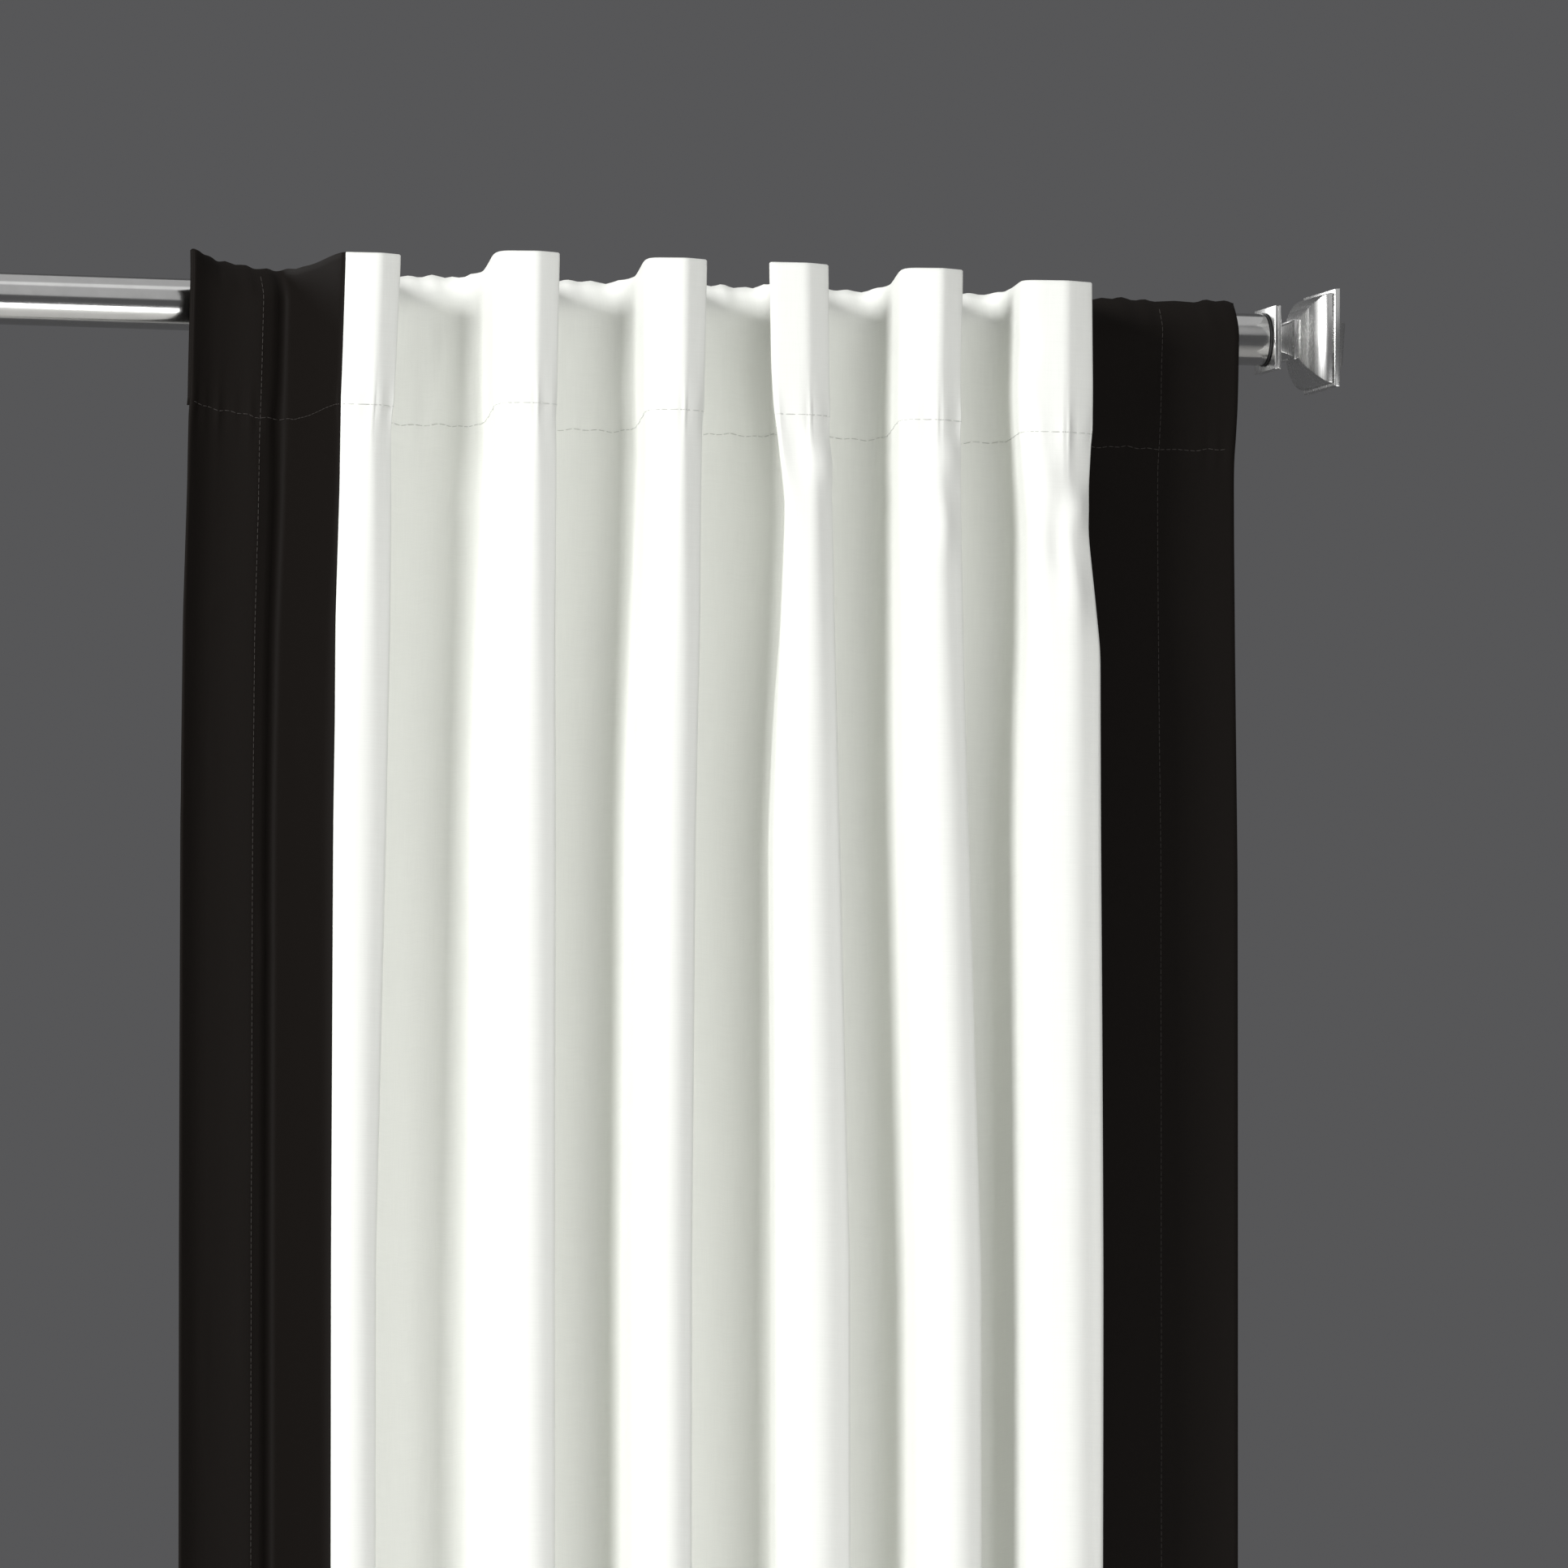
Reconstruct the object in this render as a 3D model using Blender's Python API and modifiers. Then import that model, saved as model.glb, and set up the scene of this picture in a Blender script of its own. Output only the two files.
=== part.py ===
"""Colour-block curtain panel on a telescoping rod with square trumpet finials.

X runs along the rod, Z is up and Y = 0 is the wall, with the room on the -Y side.
The origin is on the wall, level with the rod's axis and midway along the retracted rod.
"""

import math

import bmesh
import bpy

# Rod
ROD_LENGTH = 0.711          # the outer tube, from end to end
ROD_DIAMETER = 0.0254
ROD_PROJECTION = 0.090      # from the wall to the rod's axis
TUBE_WALL = 0.0008
TUBE_SLIDE_GAP = 0.0010     # between the outer tube's bore and the inner tube
INNER_TUBE_SHORT = 0.035    # how far inside the outer tube the inner one ends when shut
RING_LIP = 0.0015           # thickness of the plastic ring at the outer tube's mouth
RING_SLEEVE = 0.012

# Finials, with lengths measured outwards from the tube's end
PLUG_LENGTH = 0.029
PLUG_COLLAR = 0.0008
PLUG_COLLAR_PROUD = 0.0005
FLANGE_SIDE = 0.0314
FLANGE_THICK = 0.0033
NECK_LENGTH = 0.0084
NECK_HALF = 0.0058
NECK_END_HALF = 0.0087
COLLAR_THICK = 0.0024
COLLAR_HALF = 0.0098
COLLAR_EDGE = 0.0002        # the step up to the collar is this long
BELL_LENGTH = 0.0134
BELL_HALF = 0.0225
FACE_SIDE = 0.0483
FACE_THICK = 0.0029
BUTTON_SIDE = 0.0234
BUTTON_THICK = 0.0064
BUTTON_TAPER = 0.0010
BUTTON_TURN = math.radians(12.0)
STUD_RADIUS = 0.0025

# Brackets
BRACKET_INSET = 0.0395      # from the tube's end to the middle of the bracket
PLATE_WIDTH = 0.024
PLATE_HEIGHT = 0.070
PLATE_TOP = 0.0160          # above the rod's axis
PLATE_THICK = 0.0030
PLATE_HOLE_RADIUS = 0.00225
PLATE_HOLES = (0.0280, 0.0620)  # distances below the plate's top, both under the arm
ARM_WIDTH = 0.010
ARM_HEIGHT = 0.012
ARM_RISE = 0.0040           # height of the arm's middle above the rod's axis
CRADLE_WIDTH = 0.012
CRADLE_WALL = 0.0020
CRADLE_GAP = 0.0005         # between the rod and the cradle
CRADLE_FRONT_RISE = 0.004
CRADLE_BACK_RISE = 0.012
SCREW_RADIUS = 0.0019
SCREW_HEAD_RADIUS = 0.0033
SCREW_HEAD_THICK = 0.0010
SCREW_LENGTH = 0.011
THUMB_HEAD_RADIUS = 0.0050
THUMB_HEAD_THICK = 0.0060
THUMB_SHANK = 0.0055        # visible from the head to the tip

# Curtain
CURTAIN_LENGTH = 2.134      # from the top of the pleats to the bottom hem
CLOTH = 0.0015
CLOTH_STANDOFF = 0.0025     # from the rod's surface to the cloth in front of it
RECESS_TOP = 0.0170
PLEAT_TOP = 0.0220
PLEAT_DEPTH = 0.0550
PLEAT_CLEARANCE = 0.0020    # lets the pleats gather in front of the flat cloth
TRAILING_MARGIN = 0.0184    # from the trailing edge to the tube's end
TRAILING_CLOTH = (0.0000, 0.0751)
TRAILING_FORWARD = 0.0030
LEADING_EDGE = 0.5395
LEADING_FORWARD = 0.0100    # how far the free edge curls into the room
TAB_WIDTH = 0.038
TAB_CLEARANCE = 0.0006
TAB_DROP = 0.050            # where the lower end of a tab is sewn, below the axis
SHOULDER = 0.250            # where the pleats have settled, below the axis

# Middle of each tab, from the leading edge to the trailing one, measured from the trailing edge
TABS = [0.5036, 0.4186, 0.3406, 0.2636, 0.2026, 0.1376, 0.0606]

# Each pleat: its crest's left and right sides and its root's left side, measured from the
# trailing edge, and how far it leans along the rod by the shoulder and by the hem
PLEATS = [
    (0.4772, 0.4466, 0.4832, -0.0030, -0.0105),
    (0.3966, 0.3651, 0.3996, -0.0010, -0.0020),
    (0.3212, 0.2894, 0.3242, -0.0020, -0.0060),
    (0.2593, 0.2250, 0.2391, 0.0045, 0.0130),
    (0.1895, 0.1577, 0.1925, 0.0025, 0.0120),
    (0.1280, 0.0912, 0.1310, 0.0050, 0.0067),
]

GAP = 0.0003                # between pieces that touch
ROUND_STEPS = 48            # sides of the tubes
SCREW_STEPS = 16            # sides of the screws and their holes
TAB_STEPS = 14              # facets of a tab's bend over the rod
CRADLE_STEPS = 6                # to each of the three arcs of a cradle
CRADLE_ARCS = {"front": (0.0, 50.0), "base": (50.0, 130.0), "back": (130.0, 180.0)}

ROD_RADIUS = ROD_DIAMETER / 2
OUTER_BORE = ROD_RADIUS - TUBE_WALL
INNER_RADIUS = OUTER_BORE - TUBE_SLIDE_GAP
INNER_BORE = INNER_RADIUS - TUBE_WALL
OUTER_END = ROD_LENGTH / 2
RING_END = OUTER_END + GAP + RING_LIP
INNER_END = RING_END + GAP
TRAILING_EDGE_X = OUTER_END - TRAILING_MARGIN
CLOTH_BACK = ROD_RADIUS + CLOTH_STANDOFF
PLEAT_BACK = CLOTH_BACK + CLOTH + PLEAT_CLEARANCE
PLEAT_FRONT = CLOTH_BACK + CLOTH + PLEAT_DEPTH
HEM_Z = PLEAT_TOP - CURTAIN_LENGTH

METAL = ((0.62, 0.61, 0.59), 0.22, 1.0)
DARK_METAL = ((0.40, 0.39, 0.38), 0.35, 1.0)
BLACK_PLASTIC = ((0.02, 0.02, 0.02), 0.45, 0.0)
WHITE_CLOTH = ((0.80, 0.80, 0.77), 0.90, 0.0)
DARK_CLOTH = ((0.015, 0.012, 0.010), 0.85, 0.0)


def clear_scene():
    for obj in list(bpy.data.objects):
        bpy.data.objects.remove(obj, do_unlink=True)


def make_collection(name):
    collection = bpy.data.collections.new(name)
    bpy.context.scene.collection.children.link(collection)
    return collection


def make_material(name, finish):
    colour, roughness, metallic = finish
    material = bpy.data.materials.new(name)
    material.use_nodes = True
    shader = material.node_tree.nodes["Principled BSDF"]
    shader.inputs["Base Color"].default_value = (*colour, 1.0)
    shader.inputs["Roughness"].default_value = roughness
    shader.inputs["Metallic"].default_value = metallic
    return material


def make_empty(name, parent, location):
    empty = bpy.data.objects.new(name, None)
    PARTS.objects.link(empty)
    empty.parent = parent
    empty.location = location
    return empty


def make_object(name, bm, finish, parent, location=(0.0, 0.0, 0.0)):
    """A named piece from a bmesh, in its own material, placed under its parent."""
    mesh = bpy.data.meshes.new(name)
    bm.to_mesh(mesh)
    bm.free()
    mesh.materials.append(make_material(name, finish))
    obj = bpy.data.objects.new(name, mesh)
    PARTS.objects.link(obj)
    obj.parent = parent
    obj.location = location
    return obj


def box_mesh(size, centre=(0.0, 0.0, 0.0)):
    bm = bmesh.new()
    bmesh.ops.create_cube(bm, size=1.0)
    bmesh.ops.scale(bm, verts=bm.verts, vec=size)
    bmesh.ops.translate(bm, verts=bm.verts, vec=centre)
    return bm


def line_mesh(points, closed=False):
    """A bmesh polyline through 3-D points."""
    bm = bmesh.new()
    verts = [bm.verts.new(p) for p in points]
    for a, b in zip(verts, verts[1:]):
        bm.edges.new((a, b))
    if closed:
        bm.edges.new((verts[-1], verts[0]))
    return bm


def ribbon_mesh(points, sweeps):
    """A polyline swept through a list of offsets, which leaves an open surface."""
    bm = line_mesh(points)
    edges = list(bm.edges)
    for sweep in sweeps:
        grown = bmesh.ops.extrude_edge_only(bm, edges=edges)["geom"]
        moved = [g for g in grown if isinstance(g, bmesh.types.BMVert)]
        edges = [g for g in grown if isinstance(g, bmesh.types.BMEdge)]
        edges = [e for e in edges if all(v in moved for v in e.verts)]
        bmesh.ops.translate(bm, verts=moved, vec=sweep)
    bmesh.ops.recalc_face_normals(bm, faces=bm.faces)
    return bm


def thicken(obj, thickness):
    """Gives an open surface a wall, half on each side."""
    wall = obj.modifiers.new("wall", "SOLIDIFY")
    wall.thickness = thickness
    wall.offset = 0.0
    wall.use_even_offset = True


def bevel(obj, width, segments=1):
    edge = obj.modifiers.new("edges", "BEVEL")
    edge.width = width
    edge.segments = segments
    edge.limit_method = "ANGLE"
    edge.angle_limit = math.radians(40.0)


def turn(obj, steps):
    """Turns a profile drawn in its XZ plane about Z."""
    screw = obj.modifiers.new("turn", "SCREW")
    screw.steps = steps
    screw.render_steps = steps
    screw.use_merge_vertices = True
    screw.merge_threshold = 0.00001


def turned_piece(name, profile, finish, parent, location=(0.0, 0.0, 0.0), axis="X", steps=48):
    """A turned piece. The profile holds (radius, distance along the axis) pairs, and runs
    from the far end to the near end on its outer side."""
    is_ring = profile[0][0] > 0.0
    points = [(r, 0.0, d) for r, d in profile]
    obj = make_object(name, line_mesh(points, closed=is_ring), finish, parent, location)
    turn(obj, steps)
    if axis == "X":
        obj.rotation_euler = (0.0, math.radians(90.0), 0.0)
    elif axis == "Y":
        obj.rotation_euler = (math.radians(-90.0), 0.0, 0.0)
    obj.data.shade_smooth()
    return obj


def ring_profile(bore, radius, near, far):
    return [(radius, far), (radius, near), (bore, near), (bore, far)]


def as_cutter(obj):
    PARTS.objects.unlink(obj)
    CUTTERS.objects.link(obj)
    obj.hide_render = True
    obj.display_type = "WIRE"
    return obj


def cut(obj, cutter):
    hole = obj.modifiers.new("hole", "BOOLEAN")
    hole.operation = "DIFFERENCE"
    hole.solver = "EXACT"
    hole.object = cutter


def square_loft_mesh(stations):
    """A square bar along X, grown by extruding its end through (distance, half side) pairs."""
    bm = bmesh.new()
    near, half = stations[0]
    corners = [(-1, -1), (-1, 1), (1, 1), (1, -1)]
    end = bm.faces.new([bm.verts.new((near, half * y, half * z)) for y, z in corners])
    for step, (far, next_half) in enumerate(stations[1:]):
        grown = bmesh.ops.extrude_face_region(bm, geom=[end])["geom"]
        if step > 0:
            bmesh.ops.delete(bm, geom=[end], context="FACES_ONLY")
        end = [g for g in grown if isinstance(g, bmesh.types.BMFace)][0]
        bmesh.ops.translate(bm, verts=end.verts, vec=(far - near, 0.0, 0.0))
        share = next_half / half
        bmesh.ops.scale(bm, verts=end.verts, vec=(1.0, share, share))
        near, half = far, next_half
    bmesh.ops.recalc_face_normals(bm, faces=bm.faces)
    return bm


# ---------------------------------------------------------------- rod


def build_rod(rod, inner_rod):
    outer = ring_profile(OUTER_BORE, ROD_RADIUS, -OUTER_END, OUTER_END)
    turned_piece("outer_tube", outer, METAL, rod)
    inner = ring_profile(INNER_BORE, INNER_RADIUS, -INNER_END, OUTER_END - INNER_TUBE_SHORT)
    turned_piece("inner_tube", inner, METAL, inner_rod)
    sleeve = OUTER_BORE - GAP / 2
    bore = INNER_RADIUS + GAP / 2
    near, lip, far = -RING_END, -OUTER_END - GAP, -OUTER_END + RING_SLEEVE
    ring = [
        (sleeve, far),
        (sleeve, lip),
        (ROD_RADIUS, lip),
        (ROD_RADIUS, near),
        (bore, near),
        (bore, far),
    ]
    turned_piece("tube_mouth_ring", ring, BLACK_PLASTIC, rod)


# ---------------------------------------------------------------- finials


def bell_stations(start):
    """Square sections of the casting: a flared neck, a collar, and a bell that swells quickly
    and then levels off."""
    stations = []
    for i in range(5):
        share = i / 4
        flare = share ** 1.7
        half = NECK_HALF + (NECK_END_HALF - NECK_HALF) * flare
        stations.append((start + NECK_LENGTH * share, half))
    collar = start + NECK_LENGTH
    stations.append((collar + COLLAR_EDGE, COLLAR_HALF))
    stations.append((collar + COLLAR_THICK, COLLAR_HALF))
    for i in range(1, 9):
        share = i / 8
        swell = math.sin(share * math.pi / 2) ** 0.85
        half = COLLAR_HALF + (BELL_HALF - COLLAR_HALF) * swell
        stations.append((collar + COLLAR_THICK + BELL_LENGTH * share, half))
    return stations


def build_finial(side, finial, bore):
    """Six pieces, drawn with +X pointing out of the tube's end."""
    stud_hole = STUD_RADIUS + GAP
    collar_far = GAP + PLUG_COLLAR
    plug_radius = bore - GAP
    collar_radius = ROD_RADIUS + PLUG_COLLAR_PROUD
    plug = [
        (collar_radius, collar_far),
        (collar_radius, GAP),
        (plug_radius, GAP),
        (plug_radius, -PLUG_LENGTH),
        (stud_hole, -PLUG_LENGTH),
        (stud_hole, collar_far),
    ]
    turned_piece(side + "_finial_plug", plug, BLACK_PLASTIC, finial)

    flange_near = collar_far + GAP
    flange_far = flange_near + FLANGE_THICK
    bell_near = flange_far + GAP
    bell = square_loft_mesh(bell_stations(bell_near))
    bell_far = bell_near + NECK_LENGTH + COLLAR_THICK + BELL_LENGTH
    face_near = bell_far + GAP
    face_far = face_near + FACE_THICK
    button_near = face_far + GAP
    button_far = button_near + BUTTON_THICK
    stud_far = button_near + BUTTON_THICK / 2

    stud = [
        (0.0, stud_far),
        (STUD_RADIUS, stud_far),
        (STUD_RADIUS, -PLUG_LENGTH),
        (0.0, -PLUG_LENGTH),
    ]
    turned_piece(side + "_finial_stud", stud, DARK_METAL, finial)
    hole_far = stud_far + GAP
    hole = [
        (0.0, hole_far),
        (stud_hole, hole_far),
        (stud_hole, -PLUG_LENGTH),
        (0.0, -PLUG_LENGTH),
    ]
    cutter = as_cutter(turned_piece(side + "_stud_hole", hole, METAL, finial))

    flange = square_loft_mesh([(flange_near, FLANGE_SIDE / 2), (flange_far, FLANGE_SIDE / 2)])
    face = square_loft_mesh([(face_near, FACE_SIDE / 2), (face_far, FACE_SIDE / 2)])
    button_half = BUTTON_SIDE / 2
    button = square_loft_mesh([(button_near, button_half), (button_far, button_half - BUTTON_TAPER)])
    castings = (("flange", flange), ("bell", bell), ("face_plate", face), ("button", button))
    for name, bm in castings:
        obj = make_object(side + "_finial_" + name, bm, METAL, finial)
        if name == "button":
            obj.rotation_euler = (BUTTON_TURN, 0.0, 0.0)
        if name != "bell":
            bevel(obj, 0.0003)
        cut(obj, cutter)


# ---------------------------------------------------------------- brackets


def screw_profile(grow):
    """A headed screw whose head's outer face is at 0 and whose shank runs to +SCREW_LENGTH."""
    return [
        (0.0, SCREW_LENGTH + grow),
        (SCREW_RADIUS + grow, SCREW_LENGTH + grow),
        (SCREW_RADIUS + grow, SCREW_HEAD_THICK + grow),
        (SCREW_HEAD_RADIUS + grow, SCREW_HEAD_THICK + grow),
        (SCREW_HEAD_RADIUS + grow, -grow),
        (0.0, -grow),
    ]


def cradle_outline(part):
    """Middle of the wall of one of a cradle's three parts, which run under the rod from the
    front lip to the back lip with a gap between them."""
    radius = ROD_RADIUS + CRADLE_GAP + CRADLE_WALL / 2
    slack = GAP / radius / 2
    first, last = (math.radians(angle) for angle in CRADLE_ARCS[part])
    if part != "front":
        first += slack
    if part != "back":
        last -= slack
    points = []
    for i in range(CRADLE_STEPS + 1):
        angle = first + (last - first) * i / CRADLE_STEPS
        points.append((-radius * math.cos(angle), -radius * math.sin(angle)))
    if part == "front":
        points.insert(0, (-radius, CRADLE_FRONT_RISE))
    if part == "back":
        points.append((radius, CRADLE_BACK_RISE))
    return points


def build_cradle(side, x):
    """The front, base and back of an open cradle under the rod."""
    parts = {}
    for part in CRADLE_ARCS:
        outline = [(-CRADLE_WIDTH / 2, y, z) for y, z in cradle_outline(part)]
        swept = ribbon_mesh(outline, [(CRADLE_WIDTH, 0.0, 0.0)])
        name = "%s_cradle_%s" % (side, part)
        parts[part] = make_object(name, swept, METAL, None, (x, -ROD_PROJECTION, 0.0))
        thicken(parts[part], CRADLE_WALL)
    return parts


def build_wall_plate(side, x):
    """A flat plate with two screw holes below the arm."""
    middle = (x, -PLATE_THICK / 2, PLATE_TOP - PLATE_HEIGHT / 2)
    plate_size = (PLATE_WIDTH, PLATE_THICK, PLATE_HEIGHT)
    plate = make_object(side + "_wall_plate", box_mesh(plate_size), METAL, None, middle)
    bevel(plate, 0.0005)
    radius = PLATE_HOLE_RADIUS
    hole = [
        (0.0, PLATE_THICK),
        (radius, PLATE_THICK),
        (radius, -PLATE_THICK),
        (0.0, -PLATE_THICK),
    ]
    for number, drop in enumerate(PLATE_HOLES):
        place = (x, -PLATE_THICK / 2, PLATE_TOP - drop)
        name = "%s_plate_hole_%d" % (side, number + 1)
        room = turned_piece(name, hole, METAL, None, place, "Y", SCREW_STEPS)
        cut(plate, as_cutter(room))


def build_rod_screw(side, rod_screw_axis, base, place):
    """A knurled screw from below, whose tip stops just under the rod."""
    tip = -(ROD_RADIUS + GAP)
    neck = tip - THUMB_SHANK
    end = neck - THUMB_HEAD_THICK
    head, shank = THUMB_HEAD_RADIUS, SCREW_RADIUS
    profile = [(0.0, tip), (shank, tip), (shank, neck), (head, neck), (head, end), (0.0, end)]
    name = side + "_rod_screw"
    origin = (0.0, 0.0, 0.0)
    turned_piece(name, profile, DARK_METAL, rod_screw_axis, origin, "Z", SCREW_STEPS)
    room = shank + GAP
    top = tip + CRADLE_WALL
    hole = [(0.0, top), (room, top), (room, neck), (0.0, neck)]
    cutter = turned_piece(name + "_hole", hole, METAL, None, place, "Z", SCREW_STEPS)
    cut(base, as_cutter(cutter))


def build_bracket(side, rod_screw_axis, x):
    """A wall plate, an arm, an open cradle and its two screws, at x along the rod."""
    build_wall_plate(side, x)
    front = -ROD_PROJECTION
    cradle = build_cradle(side, x)

    arm_near = front + ROD_RADIUS + CRADLE_GAP + CRADLE_WALL + GAP
    arm_far = -PLATE_THICK - GAP
    arm_size = (ARM_WIDTH, arm_far - arm_near, ARM_HEIGHT)
    arm_centre = (x, (arm_far + arm_near) / 2, ARM_RISE)
    arm = make_object(side + "_bracket_arm", box_mesh(arm_size), METAL, None, arm_centre)
    bevel(arm, 0.0008)

    head = (x, front + ROD_RADIUS + CRADLE_GAP + GAP, ARM_RISE)
    name = side + "_cradle_screw"
    turned_piece(name, screw_profile(0.0), DARK_METAL, None, head, "Y", SCREW_STEPS)
    hole = screw_profile(GAP)
    room = as_cutter(turned_piece(name + "_hole", hole, METAL, None, head, "Y", SCREW_STEPS))
    cut(cradle["back"], room)
    cut(arm, room)
    build_rod_screw(side, rod_screw_axis, cradle["base"], (x, front, 0.0))


# ---------------------------------------------------------------- curtain


def tab_outline(cloth_back):
    """Middle of a back tab, seen along the rod: from the cloth over the rod, down behind it,
    and forward again to the cloth below the heading."""
    radius = ROD_RADIUS + TAB_CLEARANCE + CLOTH / 2
    sewn = cloth_back - CLOTH / 2 - GAP
    reach = math.hypot(sewn, TAB_DROP)
    last = math.atan2(-TAB_DROP, -sewn) + math.acos(radius / reach)
    first = math.radians(90.0)
    points = [(-sewn, radius)]
    for i in range(TAB_STEPS + 1):
        angle = first + (last - first) * i / TAB_STEPS
        points.append((radius * math.cos(angle), radius * math.sin(angle)))
    points.append((-sewn, -TAB_DROP))
    return points


def build_tab(number, body, cloth_back):
    """A back tab, whose body's empty is at its middle on the rod's axis."""
    outline = [(-TAB_WIDTH / 2, y, z) for y, z in tab_outline(cloth_back)]
    swept = ribbon_mesh(outline, [(TAB_WIDTH, 0.0, 0.0)])
    tab = make_object("back_tab_%d" % number, swept, WHITE_CLOTH, body)
    thicken(tab, CLOTH)


def hang(name, outline, top, finish, body, leans=()):
    """Cloth that hangs from a line of (x, y) points at the height top down to the hem. The
    leans are how far it has moved along the rod by the shoulder and by the hem."""
    sweeps = [(0.0, 0.0, HEM_Z - top)]
    if leans:
        shoulder_lean, hem_lean = leans
        to_shoulder = (shoulder_lean, 0.0, -SHOULDER - top)
        to_hem = (hem_lean - shoulder_lean, 0.0, HEM_Z + SHOULDER)
        sweeps = [to_shoulder, to_hem]
    swept = ribbon_mesh([(x, y, top) for x, y in outline], sweeps)
    cloth = make_object(name, swept, finish, body)
    thicken(cloth, CLOTH)


def build_recess(number, body):
    y = -(CLOTH_BACK + CLOTH / 2)
    half = TAB_WIDTH / 2
    hang("recess_cloth_%d" % number, [(-half, y), (half, y)], RECESS_TOP, WHITE_CLOTH, body)


def build_leading_edge(body, tab_from_trailing):
    """Flat behind the tab, then curving forward to the free edge."""
    y = -(CLOTH_BACK + CLOTH / 2)
    half = TAB_WIDTH / 2
    reach = LEADING_EDGE - tab_from_trailing - half
    outline = []
    for i in range(7):
        share = i / 6
        forward = LEADING_FORWARD * (1.0 - math.cos(share * math.pi / 2)) ** 0.7
        outline.append((-half - reach * share, y - forward))
    hang("leading_edge_cloth", [(half, y)] + outline, RECESS_TOP, DARK_CLOTH, body)


def build_trailing_edge(body):
    near, far = TRAILING_CLOTH
    y = -(CLOTH_BACK + TRAILING_FORWARD + CLOTH / 2)
    hang("trailing_edge_cloth", [(-far, y), (-near, y)], RECESS_TOP, DARK_CLOTH, body)


def build_pleat(number, pleat, body):
    """A forward fold: flat front, a corner past its middle, and a sharp right side."""
    left, right, root, shoulder_lean, hem_lean = pleat
    middle = (left + right) / 2
    width = left - right
    back = -PLEAT_BACK
    front = -PLEAT_FRONT + CLOTH / 2
    inset = CLOTH / 2
    outline = [
        (middle - root + inset, back),
        (-width / 2 + inset, front + 0.22 * PLEAT_DEPTH),
        (-width / 2 + 0.10 * width, front + 0.04 * PLEAT_DEPTH),
        (0.12 * width, front),
        (width / 2 - inset, front + 0.10 * PLEAT_DEPTH),
        (width / 2 - inset, back),
    ]
    hang("pleat_%d" % number, outline, PLEAT_TOP, WHITE_CLOTH, body, (shoulder_lean, hem_lean))


def build_curtain(trailing):
    """The curtain's bodies hang from empties on the rod's axis, placed from the trailing edge."""
    build_trailing_edge(trailing)
    for i, distance in enumerate(TABS):
        number = i + 1
        body = make_empty("tab_%d_axis" % number, trailing, (-distance, 0.0, 0.0))
        if number == len(TABS):
            build_tab(number, body, CLOTH_BACK + TRAILING_FORWARD)
        else:
            build_tab(number, body, CLOTH_BACK)
        if number == 1:
            build_leading_edge(body, distance)
        elif number < len(TABS):
            build_recess(number, body)
    for i, pleat in enumerate(PLEATS):
        middle = (pleat[0] + pleat[1]) / 2
        body = make_empty("pleat_%d_axis" % (i + 1), trailing, (-middle, 0.0, 0.0))
        build_pleat(i + 1, pleat, body)


def build():
    axis = make_empty("rod_axis", None, (0.0, -ROD_PROJECTION, 0.0))
    inner_rod = make_empty("inner_rod_axis", axis, (0.0, 0.0, 0.0))
    build_rod(axis, inner_rod)
    right = make_empty("right_finial_axis", axis, (OUTER_END, 0.0, 0.0))
    left = make_empty("left_finial_axis", inner_rod, (-INNER_END, 0.0, 0.0))
    left.rotation_euler = (0.0, 0.0, math.radians(180.0))
    build_finial("right", right, OUTER_BORE)
    build_finial("left", left, INNER_BORE)
    for side, sign in (("right", 1), ("left", -1)):
        x = sign * (OUTER_END - BRACKET_INSET)
        screw_axis = make_empty(side + "_rod_screw_axis", None, (x, -ROD_PROJECTION, 0.0))
        build_bracket(side, screw_axis, x)
    trailing = make_empty("trailing_edge_axis", axis, (TRAILING_EDGE_X, 0.0, 0.0))
    build_curtain(trailing)


clear_scene()
PARTS = make_collection("curtain_on_rod")
CUTTERS = make_collection("cutters")
build()
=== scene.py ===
"""Colour-block curtain panel on a rod: cloth, thread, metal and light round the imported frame."""

import math

import bmesh
import bpy
import numpy as np
from mathutils import Matrix, Vector


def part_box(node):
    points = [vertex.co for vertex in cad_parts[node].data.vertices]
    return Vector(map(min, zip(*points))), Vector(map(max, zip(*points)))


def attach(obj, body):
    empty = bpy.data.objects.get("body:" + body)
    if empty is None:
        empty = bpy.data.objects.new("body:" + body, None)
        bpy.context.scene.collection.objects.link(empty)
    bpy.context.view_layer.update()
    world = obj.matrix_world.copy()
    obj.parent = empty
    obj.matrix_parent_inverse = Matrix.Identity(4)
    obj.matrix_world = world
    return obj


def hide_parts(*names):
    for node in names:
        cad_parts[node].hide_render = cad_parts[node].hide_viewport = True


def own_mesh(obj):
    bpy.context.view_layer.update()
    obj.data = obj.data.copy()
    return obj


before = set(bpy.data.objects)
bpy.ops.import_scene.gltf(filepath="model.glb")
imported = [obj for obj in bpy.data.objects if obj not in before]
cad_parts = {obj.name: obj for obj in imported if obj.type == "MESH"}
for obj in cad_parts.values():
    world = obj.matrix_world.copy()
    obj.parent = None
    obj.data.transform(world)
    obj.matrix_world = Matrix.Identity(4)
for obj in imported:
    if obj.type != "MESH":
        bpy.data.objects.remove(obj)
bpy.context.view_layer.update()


def corners(node):
    low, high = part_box(node)
    return np.array(low), np.array(high)


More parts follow.
